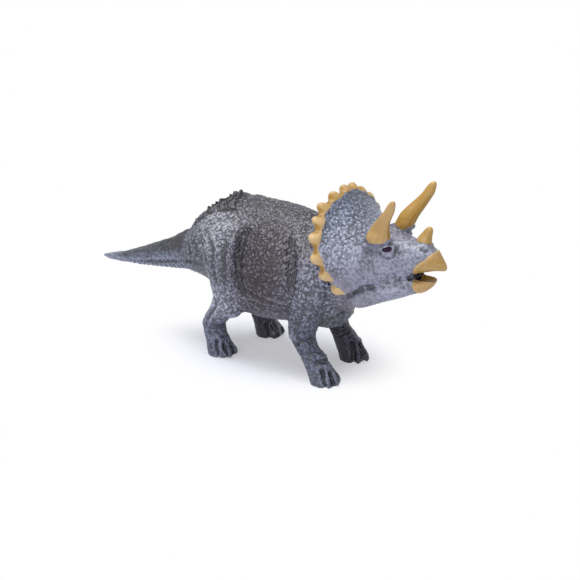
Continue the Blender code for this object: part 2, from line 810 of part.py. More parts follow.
def brow_horn(name, side, margin=0.0):
    mirror = Matrix.Diagonal((1, -side, 1))
    lead = Vector((LEFT_HORN_LEAD if side > 0 else 0, 0, 0))
    root = mirror @ in_head(*BROW_HORN_ROOT_SHARES) + lead
    tip = mirror @ in_head(*BROW_HORN_TIP_SHARES) + lead
    length = BROW_HORN_LENGTH
    sizes = (length, BROW_HORN_DEPTH, BROW_HORN_WIDTH)
    return horn(name, root, tip, *sizes, HORN_SHARES, BROW_HORN_BOW, margin)


def nose_horn(name, margin=0.0):
    root = in_head(*NOSE_HORN_ROOT_SHARES)
    tip = in_head(*NOSE_HORN_TIP_SHARES)
    sizes = (NOSE_HORN_LENGTH, NOSE_HORN_DEPTH, NOSE_HORN_WIDTH)
    return horn(name, root, tip, *sizes, BLUNT_HORN_SHARES, NOSE_HORN_BOW, margin)


def beak_region(margin):
    """A drum across the snout tip. What lies inside it is beak."""
    centre = in_head(BEAK_CENTRE_SHARES[0], 0, BEAK_CENTRE_SHARES[1])
    radius = BEAK_RADIUS + margin
    bm = bmesh.new()
    bmesh.ops.create_cone(
        bm, cap_ends=True, segments=BEAK_SIDES, radius1=radius, radius2=radius, depth=HEAD_WIDTH
    )
    matrix = Matrix.Translation(centre) @ Matrix.Rotation(math.pi / 2, 4, "X")
    bmesh.ops.transform(bm, matrix=matrix, verts=bm.verts[:])
    mesh = bpy.data.meshes.new("beak")
    bm.to_mesh(mesh)
    bm.free()
    return add_object("beak", mesh)


def mouth():
    """The hollow inside the mouth."""
    centre = in_head(MOUTH_CENTRE_SHARES[0], 0, MOUTH_CENTRE_SHARES[1])
    turn = Matrix.Rotation(math.radians(-MOUTH_TILT_DEG), 4, "Y")
    return ellipsoid("mouth", centre, (MOUTH_LENGTH, MOUTH_WIDTH, MOUTH_HEIGHT), turn, 20, 12)


def skull_skin():
    rows = blended(head_sections(SKULL_SHARES), 2)
    return loft("skull", sections_to_rings(rows, BODY_SIDES, SKULL_POWER))


def jaw_skin():
    rows = blended(head_sections(JAW_SHARES), 2)
    return loft("jaw", sections_to_rings(rows, BODY_SIDES, JAW_POWER))


def beak_peg_ends(along, up):
    """A peg from the beak back into the head, at the given height share."""
    front = in_head(along, 0, up)
    return front, front - Vector((BEAK_PEG_LENGTH, 0, 0))


def build_head():
    """The head's six pieces, in the order in which they are seated."""
    skull = skull_skin()
    jaw = jaw_skin()
    rows = frill_rows()
    plate = frill_sheet(rows)
    rim = build_rim(rows, plate)

    # The beak halves are the ends of the skull and the jaw, a little fuller than the skin
    upper = combine(grown(skull, BEAK_STEP, "upper_beak"), beak_region(0.0), "INTERSECT")
    lower = combine(grown(jaw, BEAK_STEP, "lower_beak"), beak_region(0.0), "INTERSECT")
    combine(upper, mouth(), "DIFFERENCE")
    combine(lower, mouth(), "DIFFERENCE")
    keep_largest(upper)
    keep_largest(lower)

    lower_jaw = copied(jaw, "lower_jaw")
    combine(lower_jaw, grown(skull, SEAM_GAP, "palate"), "DIFFERENCE")
    combine(lower_jaw, mouth(), "DIFFERENCE")
    combine(lower_jaw, beak_region(SEAM_GAP), "DIFFERENCE")
    keep_largest(lower_jaw)

    head = copied(skull, "head")
    combine(head, plate, "UNION")
    for side in (-1, 1):
        combine(head, brow_boss(side), "UNION")
    for side in (-1, 1):
        combine(head, eye(side), "UNION")
        combine(head, eyelid(side), "UNION")
        combine(head, nostril(side), "UNION")
    combine(head, mouth(), "DIFFERENCE")
    combine(head, beak_region(SEAM_GAP), "DIFFERENCE")
    for side in (-1, 1):
        combine(head, brow_horn("socket", side, SEAM_GAP), "DIFFERENCE")
    combine(head, nose_horn("socket", SEAM_GAP), "DIFFERENCE")
    keep_largest(head)

    # Pegs fix the beak halves and the jaw
    peg = (BEAK_PEG_DIAMETER, BEAK_PEG_DIAMETER)
    for beak, carrier, place in (
        (upper, head, UPPER_PEG_SHARES),
        (lower, lower_jaw, LOWER_PEG_SHARES),
    ):
        start, end = beak_peg_ends(*place)
        combine(beak, oval_plug("peg", start, end, *peg), "UNION")
        plug_hole(carrier, start, end, *peg)
    start = in_head(JAW_PEG_SHARES[0], 0, JAW_PEG_SHARES[1])
    end = start + Vector((0, 0, JAW_PEG_LENGTH))
    peg = jaw_peg("peg", start, end, 0.0)
    combine(lower_jaw, peg, "UNION")
    combine(head, jaw_peg("hole", start, end, SEAM_GAP), "DIFFERENCE")

    start, end = neck_plug_ends()
    plug = oval_plug("plug", start, end, NECK_SPIGOT_WIDTH, NECK_SPIGOT_HEIGHT)
    combine(head, plug, "UNION")
    for obj in (skull, jaw):
        bpy.data.objects.remove(obj)
    return head, lower_jaw, upper, lower, rim


def jaw_peg(name, start, end, margin):
    across = Vector((0, JAW_PEG_WIDTH / 2 + margin, 0))
    along = Vector((JAW_PEG_DEPTH / 2 + margin, 0, 0))
    rise = Vector((0, 0, margin))
    return box(name, start - across - along - rise, end + across + along + rise)


def brow_boss(side):
    """The bony mound that a brow horn stands on."""
    along, out, up = BROW_BOSS_SHARES
    sizes = (BROW_BOSS_LENGTH, BROW_BOSS_WIDTH, BROW_BOSS_HEIGHT)
    return ellipsoid("boss", in_head(along, -side * out, up), sizes)


def eye(side):
    along, out, up = EYE_SHARES
    sizes = (EYE_DIAMETER,) * 3
    return ellipsoid("eye", in_head(along, -side * out, up), sizes, None, 12, 8)


def eyelid(side):
    """The ring of the lids round the eye."""
    along, out, up = EYE_SHARES
    centre = in_head(along, -side * out, up)
    bm = bmesh.new()
    lid = bmesh.ops.create_circle(bm, segments=5, radius=LID_THICKNESS / 2)
    stand = Matrix.Translation((EYE_DIAMETER / 2, 0, 0)) @ Matrix.Rotation(math.pi / 2, 4, "X")
    bmesh.ops.transform(bm, matrix=stand, verts=lid["verts"])
    bmesh.ops.spin(
        bm,
        geom=bm.verts[:] + bm.edges[:],
        cent=(0, 0, 0),
        axis=(0, 0, 1),
        angle=2 * math.pi,
        steps=12,
        use_merge=True,
    )
    flat = Matrix.Rotation(math.pi / 2, 4, "X")
    turn = Matrix.Rotation(math.radians(EYE_TURN_DEG) * side, 4, "Z")
    rise = Vector((0, side * EYE_DIAMETER * LID_SEAT_SHARE, 0))
    bmesh.ops.transform(bm, matrix=Matrix.Translation(centre + rise) @ turn @ flat, verts=bm.verts[:])
    bmesh.ops.recalc_face_normals(bm, faces=bm.faces[:])
    mesh = bpy.data.meshes.new("lid")
    bm.to_mesh(mesh)
    bm.free()
    return add_object("lid", mesh)


def nostril(side):
    """The fold over a nostril."""
    along, out, up = NOSTRIL_SHARES
    sizes = (NOSTRIL_LENGTH, NOSTRIL_WIDTH, NOSTRIL_HEIGHT)
    return ellipsoid("nostril", in_head(along, -side * out, up), sizes, None, 10, 6)


def painted(obj, name, colour, roughness):
    """Gives a piece its own material."""
    material = bpy.data.materials.new(name)
    material.use_nodes = True
    shader = material.node_tree.nodes["Principled BSDF"]
    shader.inputs["Base Color"].default_value = (*colour, 1)
    shader.inputs["Roughness"].default_value = roughness
    shader.inputs["Metallic"].default_value = 0.0
    obj.data.materials.clear()
    obj.data.materials.append(material)


def standing_box(objects):
    """The lowest and highest corners of all the objects."""
    places = [v.co for obj in objects for v in obj.data.vertices]
    low = Vector(min(p[i] for p in places) for i in range(3))
    high = Vector(max(p[i] for p in places) for i in range(3))
    return low, high


def main():
    for obj in list(bpy.data.objects):
        bpy.data.objects.remove(obj)

    torso, skin = build_torso()
    tail = build_tail()
    plug_hole(torso, *tail_plug_ends(), TAIL_SPIGOT_WIDTH, TAIL_SPIGOT_HEIGHT)
    head, lower_jaw, upper_beak, lower_beak, rim = build_head()
    plug_hole(torso, *neck_plug_ends(), NECK_SPIGOT_WIDTH, NECK_SPIGOT_HEIGHT)

    legs = []
    for leg in (
        Leg("right_foreleg", -1, "fore", FORE_STRIDE, RIGHT_FORE_SPREAD),
        Leg("left_foreleg", 1, "fore", -FORE_STRIDE, LEFT_FORE_SPREAD),
        Leg("right_hind_leg", -1, "hind", -HIND_STRIDE, RIGHT_HIND_SPREAD),
        Leg("left_hind_leg", 1, "hind", HIND_STRIDE, LEFT_HIND_SPREAD),
    ):
        legs.append(build_leg(leg, skin))
        outer, inner, _ = leg.plug_ends()
        plug_hole(torso, outer, inner, leg.plug_diameter, leg.plug_diameter)
    bpy.data.objects.remove(skin)

    horns = [
        brow_horn("brow_horn_right", -1),
        brow_horn("brow_horn_left", 1),
        nose_horn("nose_horn"),
    ]

    pieces = [torso, tail, head, lower_jaw] + legs
    ochre = [upper_beak, lower_beak, rim] + horns
    for obj in pieces:
        painted(obj, obj.name + "_pvc", SKIN_COLOURS.get(obj.name, SLATE), SKIN_ROUGHNESS)
    for obj in ochre:
        painted(obj, obj.name + "_ochre", OCHRE, OCHRE_ROUGHNESS)

    # The origin is the middle of the box, on the floor
    low, high = standing_box(pieces + ochre)
    middle = Matrix.Translation((-(low.x + high.x) / 2, -(low.y + high.y) / 2, -low.z))
    collection = bpy.data.collections.new("toy_dinosaur")
    bpy.context.scene.collection.children.link(collection)
    for obj in pieces + ochre:
        obj.data.transform(middle)
        collection.objects.link(obj)
        bpy.context.scene.collection.objects.unlink(obj)


main()
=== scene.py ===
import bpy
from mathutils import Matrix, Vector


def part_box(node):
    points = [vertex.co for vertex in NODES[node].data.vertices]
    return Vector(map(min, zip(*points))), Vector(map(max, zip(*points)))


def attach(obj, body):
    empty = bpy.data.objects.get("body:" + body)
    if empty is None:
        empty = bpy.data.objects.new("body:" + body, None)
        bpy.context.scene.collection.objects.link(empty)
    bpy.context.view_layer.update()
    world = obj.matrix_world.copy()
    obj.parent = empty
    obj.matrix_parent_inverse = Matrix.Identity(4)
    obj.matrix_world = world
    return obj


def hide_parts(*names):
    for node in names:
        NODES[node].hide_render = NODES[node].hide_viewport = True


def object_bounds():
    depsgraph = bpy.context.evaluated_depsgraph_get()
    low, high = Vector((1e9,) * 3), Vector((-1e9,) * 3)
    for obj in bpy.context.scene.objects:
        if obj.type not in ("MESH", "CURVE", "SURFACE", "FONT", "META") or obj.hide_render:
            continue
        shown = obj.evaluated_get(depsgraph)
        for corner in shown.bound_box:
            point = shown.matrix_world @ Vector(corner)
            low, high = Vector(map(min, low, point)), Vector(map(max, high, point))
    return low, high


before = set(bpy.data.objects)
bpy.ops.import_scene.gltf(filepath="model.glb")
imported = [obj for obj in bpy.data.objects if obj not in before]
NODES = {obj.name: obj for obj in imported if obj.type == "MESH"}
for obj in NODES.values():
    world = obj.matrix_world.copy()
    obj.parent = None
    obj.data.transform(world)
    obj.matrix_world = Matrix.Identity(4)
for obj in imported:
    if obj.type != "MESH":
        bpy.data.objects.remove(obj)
cad_box = [list(corner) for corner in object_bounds()]

import math

import bmesh
import bpy
import numpy as np
from mathutils import Matrix, Vector
from mathutils.bvhtree import BVHTree

MM = 0.001
scene = bpy.context.scene

# The camera stands where the photograph was taken from: in front of the right shoulder, a little
# above the back. Marks read off the photograph are carried onto the figure along its rays.
VIEW_AZIMUTH_DEG = 30.0
VIEW_ELEVATION_DEG = 20.0
VIEW_DISTANCE = 800.0 * MM
VIEW_TARGET = Vector((21.98, -4.8, 45.0)) * MM
LENS_MM = 85.0
SENSOR_MM = 36.0
IMAGE_SIDE = 580
CLIP_START = 10 * MM
CLIP_END = 20.0

azimuth = math.radians(VIEW_AZIMUTH_DEG)
elevation = math.radians(VIEW_ELEVATION_DEG)
view_back = Vector((
    math.sin(azimuth) * math.cos(elevation),
    -math.cos(azimuth) * math.cos(elevation),
    math.sin(elevation),
))
view_right = Vector((math.cos(azimuth), math.sin(azimuth), 0))
view_up = view_back.cross(view_right)
eye_point = VIEW_TARGET + view_back * VIEW_DISTANCE

camera = bpy.data.objects.new("photo_camera", bpy.data.cameras.new("photo_camera"))
scene.collection.objects.link(camera)
camera.data.lens = LENS_MM
camera.data.sensor_width = SENSOR_MM
camera.data.clip_start = CLIP_START
camera.data.clip_end = CLIP_END
view_axes = Matrix((view_right, view_up, view_back)).transposed().to_4x4()
camera.matrix_world = Matrix.Translation(eye_point) @ view_axes
scene.camera = camera


def row(vector):
    return np.array(tuple(vector))


def sight(across, down):
    """The direction in which the camera sees a pixel of the photograph."""
    scale = SENSOR_MM / LENS_MM / IMAGE_SIDE
    half = IMAGE_SIDE / 2
    ray = view_right * ((across - half) * scale) - view_up * ((down - half) * scale) - view_back
    return ray.normalized()


def pixels_of(spots):
    """Where in the photograph the places are seen."""
    away = spots - row(eye_point)
    depth = -away @ row(view_back)
    scale = IMAGE_SIDE * LENS_MM / SENSOR_MM / depth
    across = IMAGE_SIDE / 2 + scale * (away @ row(view_right))
    return across, IMAGE_SIDE / 2 - scale * (away @ row(view_up))


def middle_plane(across, down):
    """Where the sight line of a pixel crosses the figure's plane of symmetry."""
    ray = sight(across, down)
    return eye_point - ray * (eye_point.y / ray.y)


# The skin: torso, tail, head, jaw and legs are soft PVC mouldings pressed from one sculpted
# pattern, so their surfaces run on into each other without a step. The pattern is made whole
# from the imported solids, thickened first so that the fitting gaps close, then sculpted and cut.
HEAD_NODES = ("head", "lower_jaw")
LEG_NODES = ("right_foreleg", "left_foreleg", "right_hind_leg", "left_hind_leg")
SKIN_NODES = ("torso", "tail") + HEAD_NODES + LEG_NODES
OCHRE_NODES = (
    "upper_beak", "lower_beak", "nose_horn", "brow_horn_right", "brow_horn_left", "frill_rim"
)
BODY_NODES = [node for node in SKIN_NODES if node not in HEAD_NODES]
BODY_CLOSING = 0.9 * MM
HEAD_CLOSING = 0.7 * MM
FIRST_VOXEL = 0.8 * MM
SKIN_VOXEL = 0.5 * MM


def as_object(bm, name):
    """An object in the scene from a finished bmesh, which is freed."""
    mesh = bpy.data.meshes.new(name)
    bm.to_mesh(mesh)
    bm.free()
    obj = bpy.data.objects.new(name, mesh)
    scene.collection.objects.link(obj)
    return obj


def merged_copy(node, name):
    """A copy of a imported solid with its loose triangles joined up."""
    bm = bmesh.new()
    bm.from_mesh(NODES[node].data)
    bmesh.ops.remove_doubles(bm, verts=bm.verts[:], dist=MM / 1000)
    return as_object(bm, name)


def remeshed(obj, voxel):
    """The object with its surface laid out again on a grid of that size."""
    modifier = obj.modifiers.new("Remesh", "REMESH")
    modifier.mode = "VOXEL"
    modifier.voxel_size = voxel
    bpy.context.view_layer.update()
    graph = bpy.context.evaluated_depsgraph_get()
    mesh = bpy.data.meshes.new_from_object(obj.evaluated_get(graph))
    obj.modifiers.clear()
    obj.data = mesh
    return obj


def places(mesh):
    array = np.empty(len(mesh.vertices) * 3, np.float32)
    mesh.vertices.foreach_get("co", array)
    return array.reshape(-1, 3).astype(np.float64)


def directions(mesh):
    array = np.empty(len(mesh.vertices) * 3, np.float32)
    mesh.vertex_normals.foreach_get("vector", array)
    return array.reshape(-1, 3).astype(np.float64)


def put(mesh, spots):
    mesh.vertices.foreach_set("co", spots.astype(np.float32).ravel())
    mesh.update()


def swell(obj, distance):
    """Moves every point out along its normal, by one distance or by one for each point."""
    put(obj.data, places(obj.data) + directions(obj.data) * distance)


def joined(objects, name):
    bm = bmesh.new()
    for obj in objects:
        bm.from_mesh(obj.data)
        bpy.data.objects.remove(obj)
    return as_object(bm, name)


def linked_groups(items, neighbours):
    """The items in groups that hang together, the largest last."""
    left = set(items)
    groups = []
    while left:
        stack = [left.pop()]
        group = []
        while stack:
            item = stack.pop()
            group.append(item)
            for other in neighbours(item):
                if other in left:
                    left.discard(other)
                    stack.append(other)
        groups.append(group)
    return sorted(groups, key=len)


def outer_shell(obj):
    """Keeps only the largest closed surface, without the hollow inside it."""
    bm = bmesh.new()
    bm.from_mesh(obj.data)
    for shell in linked_groups(bm.verts, lambda vert: [v for e in vert.link_edges for v in e.verts])[:-1]:
        bmesh.ops.delete(bm, geom=shell, context="VERTS")
    bm.to_mesh(obj.data)
    bm.free()
    return obj


blocks = []
for node in SKIN_NODES + OCHRE_NODES:
    block = remeshed(merged_copy(node, node + "_block"), FIRST_VOXEL)
    swell(block, BODY_CLOSING if node in BODY_NODES else HEAD_CLOSING)
    blocks.append(block)
pattern = outer_shell(remeshed(joined(blocks, "pattern"), SKIN_VOXEL))


class Net:
    """Which points of a mesh are joined, so that values on them can be eased into each other."""

    def __init__(self, mesh):
        self.count = len(mesh.vertices)
        ends = np.empty(len(mesh.edges) * 2, np.int32)
        mesh.edges.foreach_get("vertices", ends)
        self.ends = ends.reshape(-1, 2)
        self.degree = np.bincount(ends, minlength=self.count)

    def averaged(self, values):
        """Each point's mean of its neighbours' values."""
        columns = values.reshape(self.count, -1)
        total = np.empty_like(columns)
        for i in range(columns.shape[1]):
            for a, b in ((0, 1), (1, 0)):
                part = np.bincount(self.ends[:, a], columns[self.ends[:, b], i], self.count)
                total[:, i] = part if a == 0 else total[:, i] + part
        return (total / self.degree[:, None]).reshape(values.shape)

    def smoothed(self, values, weight, rounds):
        """Values pulled to their neighbours' mean. The weight is a number or one for each point."""
        share = weight[:, None] if np.ndim(weight) and values.ndim > 1 else weight
        for _ in range(rounds):
            values = values + share * (self.averaged(values) - values)
        return values


points = places(pattern.data)
count = len(points)
skin_net = Net(pattern.data)
smoothed = skin_net.smoothed
one_end, other_end = skin_net.ends.T


def softened(mask, rounds):
    """1 on the chosen points and 0 elsewhere, with an eased edge."""
    return smoothed(mask.astype(float), 1.0, rounds)


def step(low, high, values):
    """0 below low, 1 above high and a soft S between."""
    t = np.clip((values - low) / (high - low), 0, 1)
    return t * t * (3 - 2 * t)


def bell(values, width, power=2):
    """1 at 0, falling to about a third at the width."""
    return np.exp(-((values / width) ** power))


def far_from(spots, spot):
    return np.linalg.norm(spots - spot, axis=1)


def box_of(node):
    return [np.array(corner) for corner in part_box(node)]


def rise_in(node, spots):
    """How high the places lie in the node's box, from 0 to 1."""
    low, high = box_of(node)
    return np.clip((spots[:, 2] - low[2]) / (high[2] - low[2]), 0, 1)


def nearest_node(spots, nodes):
    """For each place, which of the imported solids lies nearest."""
    corners, faces, owners = [], [], []
    for k, node in enumerate(nodes):
        mesh = NODES[node].data
        first = len(corners)
        corners.extend(v.co.copy() for v in mesh.vertices)
        for polygon in mesh.polygons:
            faces.append([first + i for i in polygon.vertices])
            owners.append(k)
    near = BVHTree.FromPolygons(corners, faces)
    return np.array([owners[near.find_nearest(Vector(spot))[2]] for spot in spots])


# Where two mouldings of skin meet, the step between them is worked away with the thumb, as in
# wax. The belt that is smoothed fades out over a few millimetres on both sides.
SEAM_ROUNDS = 90
SEAM_GAIN = 3.2
FILLET_ROUNDS = 70
HEAD_KIND = SKIN_NODES.index("head")
RIM_KIND = len(SKIN_NODES)
OCHRE_KINDS = {node: RIM_KIND + k for k, node in enumerate(OCHRE_NODES)}
owner = nearest_node(points, SKIN_NODES + OCHRE_NODES)
on_body = np.isin(owner, [SKIN_NODES.index(node) for node in BODY_NODES])
closing = HEAD_CLOSING + (BODY_CLOSING - HEAD_CLOSING) * softened(on_body, 6)
swell(pattern, -closing[:, None])
points = places(pattern.data)
is_rim = owner == OCHRE_KINDS["frill_rim"]
is_moulded = (owner < len(SKIN_NODES)) | is_rim
between = (owner[one_end] != owner[other_end]) & is_moulded[one_end] & is_moulded[other_end]
seam = np.zeros(count)
seam[skin_net.ends[between].ravel()] = 1
seam = np.clip(smoothed(seam, 1.0, SEAM_ROUNDS) * SEAM_GAIN, 0, 1)
points = smoothed(points, 0.9 * seam, FILLET_ROUNDS)
points = smoothed(points, 0.5, 4)

# The brow horns are slimmer in the middle than the solids, flare at the foot, and stand closer
# together there. The nose horn is stouter at its foot. Pattern and inserts take the same shape.
HORN_LEVELS = (0.0, 0.10, 0.20, 0.33, 0.56, 0.80, 1.0)
HORN_GIRTHS = {
    "brow_horn_right": (1.36, 1.30, 1.10, 0.86, 0.74, 0.82, 0.9),
    "brow_horn_left": (1.14, 1.06, 0.90, 0.80, 0.84, 0.94, 1.0),
    "nose_horn": (1.15, 1.15, 1.12, 1.08, 1.0, 0.92, 0.9),
}
HORN_BENDS = {"brow_horn_right": 1.4 * MM, "brow_horn_left": 2.2 * MM, "nose_horn": 0.9 * MM}
HORN_SHIFTS = {
    "brow_horn_right": Vector((-1.5, 2.5, 0)) * MM,
    "brow_horn_left": Vector((-1.6, -2.6, 0)) * MM,
}
HORN_REACH = 13 * MM
NOSE_RISE = 1.10
FOOT_SHARES = (0.36, 0.45, 0.16)
CORE_LEVELS = np.linspace(0, 1, 9)
CORE_BELT = 0.1
horn_feet = {}
horn_cores = {}
for node in HORN_GIRTHS:
    low, high = box_of(node)
    shares = np.array(FOOT_SHARES)
    if node.endswith("right"):
        shares[1] = 1 - shares[1]
    if "brow" in node:
        horn_feet[node] = low + (high - low) * shares
    spots = places(NODES[node].data)
    belts = [spots[np.abs(rise_in(node, spots) - level) < CORE_BELT] for level in CORE_LEVELS]
    horn_cores[node] = np.array([(belt.min(0) + belt.max(0)) / 2 for belt in belts])


def shaped_horn(spots, node):
    """The places, moved from the solid's horn to the real one's."""
    moved = spots.copy()
    rise = rise_in(node, spots)
    girth = np.interp(rise, HORN_LEVELS, HORN_GIRTHS[node])
    for axis in (0, 1):
        core = np.interp(rise, CORE_LEVELS, horn_cores[node][:, axis])
        moved[:, axis] = core + girth * (spots[:, axis] - core)
    if "brow" in node:
        moved[:, 0] += HORN_BENDS[node] * step(0.1, 0.35, rise) * step(1.0, 0.75, rise)
    else:
        foot = box_of(node)[0][2]
        moved[:, 0] += HORN_BENDS[node] * step(0.3, 1.0, rise)
        moved[:, 2] = foot + NOSE_RISE * (spots[:, 2] - foot)
    return moved


def lean_horns(spots):
    """The places, moved with the feet of the brow horns."""
    moved = spots.copy()
    for node, foot in horn_feet.items():
        moved += bell(far_from(spots, foot), HORN_REACH, 4)[:, None] * row(HORN_SHIFTS[node])
    return moved


for node in HORN_GIRTHS:
    share = softened(owner == OCHRE_KINDS[node], 5)[:, None]
    points += share * (shaped_horn(points, node) - points)
points = lean_horns(points)

# The beak hooks lower in front than the solids' does, and is bowed forward at mid-height.
BEAK_HOOK = 2.2 * MM
HOOK_FROM = 99 * MM
HOOK_FULL = 110 * MM
HOOK_TOP = 85 * MM
HOOK_TOP_FADE = 6 * MM
HOOK_LOW = 66.8 * MM
BEAK_BOW = 0.8 * MM
BOW_HEIGHT = 77 * MM
BOW_REACH = 5 * MM


def hook_beak(spots):
    """The places, with the front of the upper beak drawn down."""
    moved = spots.copy()
    front = step(HOOK_FROM, HOOK_FULL, spots[:, 0])
    above_mouth = spots[:, 2] > HOOK_LOW
    share = front * step(HOOK_TOP, HOOK_TOP - HOOK_TOP_FADE, spots[:, 2])
    moved[:, 2] -= BEAK_HOOK * share * above_mouth
    moved[:, 0] += BEAK_BOW * (front * bell(spots[:, 2] - BOW_HEIGHT, BOW_REACH)) * above_mouth
    return moved


points = hook_beak(points)

# The frill leans further back at its sides, mainly on the side that the photograph shows.
FRILL_LEAN = 4.3 * MM
FRILL_BACK = 78 * MM
FAR_LEAN_SHARE = 0.15
LEAN_SIDE = (6 * MM, 24 * MM)
LEAN_HEIGHT = 106
LEAN_REACH = 11
plate = softened((owner == HEAD_KIND) & (points[:, 0] < FRILL_BACK) | is_rim, 8)
side_share = step(*LEAN_SIDE, -points[:, 1]) + FAR_LEAN_SHARE * step(*LEAN_SIDE, points[:, 1])
points[:, 0] -= FRILL_LEAN * plate * side_share * bell(points[:, 2] / MM - LEAN_HEIGHT, LEAN_REACH)

# The frill's edge runs on into a row of pointed scallops. On the pattern they are drawn out
# from round knobs: pinched towards each tip and cut back between. The groove inside is filled.
SCALLOP_CUT = 1.0 * MM
SCALLOP_PINCH = 0.40
BAND_WIDTH = 4.6 * MM
KNOB_BULGE = 0.5 * MM
VALLEY_SINK = 0.1 * MM
HUB_SHARE = 0.42
TURN_BINS = 720
TIP_BINS = 6
TIP_HEIGHT = 0.2 * MM
GROOVE_ROUNDS = 60
frill_low, frill_high = box_of("frill_rim")
hub_height = frill_low[2] + HUB_SHARE * (frill_high[2] - frill_low[2])


def round_hub(spots):
    """The angle and the distance of the places from the frill's hub, seen from the front."""
    side, height = spots[:, 1], spots[:, 2] - hub_height
    return np.arctan2(side, height), np.hypot(side, height)


def rolled(values, window):
    """The values' running mean along the rim, with the window's weights."""
    padded = np.pad(values, len(window) // 2, mode="edge")
    return np.convolve(padded, window / window.sum(), "valid")


turn, out = round_hub(points)
bin_of = np.floor((turn + np.pi) / (2 * np.pi) * TURN_BINS).astype(int) % TURN_BINS
filled = np.unique(bin_of[is_rim])
reaches = [out[is_rim & (bin_of == k)] for k in filled]
bins = np.arange(TURN_BINS)
bin_turns = bins / TURN_BINS * 2 * np.pi - np.pi
inner_edge = rolled(np.interp(bins, filled, [reach.min() for reach in reaches]), np.hanning(25))
outer_edge = np.interp(bins, filled, [reach.max() for reach in reaches])
swell_out = rolled(outer_edge - rolled(outer_edge, np.ones(41)), np.hanning(9))
tips = [
    k for k in range(filled[0] + 3, filled[-1] - 3)
    if swell_out[k] == swell_out[k - TIP_BINS : k + TIP_BINS + 1].max() and swell_out[k] > TIP_HEIGHT
]
tip_turns = bin_turns[tips]
nearest_tip = tip_turns[np.abs(turn[:, None] - tip_turns).argmin(1)]
tip_gap = np.median(np.diff(tip_turns))


def off_tips(turn):
    """0 at a scallop's tip and 1 halfway to the next."""
    return np.clip(np.abs(turn[:, None] - tip_turns).min(1) / (tip_gap / 2), 0, 1)


off_tip = off_tips(turn)
band_share = (out - inner_edge[bin_of]) / BAND_WIDTH
rim_field = softened(is_rim, 4)
beyond = np.clip((band_share - 0.8) / 0.7, 0, 1)
new_turn = turn + (nearest_tip - turn) * SCALLOP_PINCH * beyond * rim_field
new_out = out - SCALLOP_CUT * step(0.35, 1.0, off_tip) * step(0.3, 1.0, band_share) * rim_field
points[:, 1] = np.where(is_rim, new_out * np.sin(new_turn), points[:, 1])
points[:, 2] = np.where(is_rim, new_out * np.cos(new_turn) + hub_height, points[:, 2])
points = smoothed(points, 0.5 * rim_field, 3)
put(pattern.data, points)
knob = step(0.9, 0.0, off_tip) * step(0.25, 0.8, band_share)
valley = step(0.35, 1.0, off_tip) * step(-0.1, 0.4, band_share)
bulge = (KNOB_BULGE * knob - VALLEY_SINK * valley) * rim_field
points = smoothed(points + directions(pattern.data) * bulge[:, None], 0.5 * rim_field, 3)
band_share = (round_hub(points)[1] - inner_edge[bin_of]) / BAND_WIDTH
groove = bell(band_share + 0.05, 0.5) * softened(is_rim, 14) ** 0.5
points = smoothed(points, 0.9 * np.clip(1.3 * groove, 0, 1), GROOVE_ROUNDS)
put(pattern.data, points)

# Skin closes over the lower edge of each brow horn's foot, up to a line over the photograph.
COLLAR_LIFT = 0.9 * MM
COLLAR_ACROSS = (358, 364.5, 366.5, 372, 383, 386.5, 391, 397)
COLLAR_DOWN = (234, 238.5, 243.0, 244.4, 244.4, 241.5, 239.0, 237.0)
on_horn = np.isin(owner, [OCHRE_KINDS[node] for node in horn_feet])
across, down = pixels_of(np.stack([points[:, 0], -np.abs(points[:, 1]), points[:, 2]], axis=1))
collar = on_horn & (down > np.interp(across, COLLAR_ACROSS, COLLAR_DOWN))
owner[collar] = HEAD_KIND
is_skin = owner < len(SKIN_NODES)
thick = softened(collar, 5)
points = points + directions(pattern.data) * (COLLAR_LIFT * thick)[:, None]
points = smoothed(points, np.clip(2 * smoothed(thick, 1.0, 8), 0, 0.8), 12)
put(pattern.data, points)


# Folds of the skin. Each is a line over the photograph, dropped onto the pattern along the
# camera's rays and pressed in or raised with a round tool. The far side gets the same fold.
def catmull(stops, steps=8):
    """A smooth line of places through the stops."""
    line = []
    for i in range(len(stops) - 1):
        a, b = stops[max(i - 1, 0)], stops[i]
        c, d = stops[i + 1], stops[min(i + 2, len(stops) - 1)]
        for k in range(steps):
            t = k / steps
            line.append(
                0.5 * (2 * b + (c - a) * t + (2 * a - 5 * b + 4 * c - d) * t**2
                       + (3 * b - a - 3 * c + d) * t**3)
            )
    line.append(stops[-1])
    return line


def foot_lead(right, left, reach):
    """A right leg's span along x, the left one's middle, and the height where they part."""
    low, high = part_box(right)
    return (low[0], high[0]), sum(corner[0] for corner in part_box(left)) / 2, reach


FOOT_LEADS = (
    foot_lead("right_foreleg", "left_foreleg", 56 * MM),
    foot_lead("right_hind_leg", "left_hind_leg", 62 * MM),
)


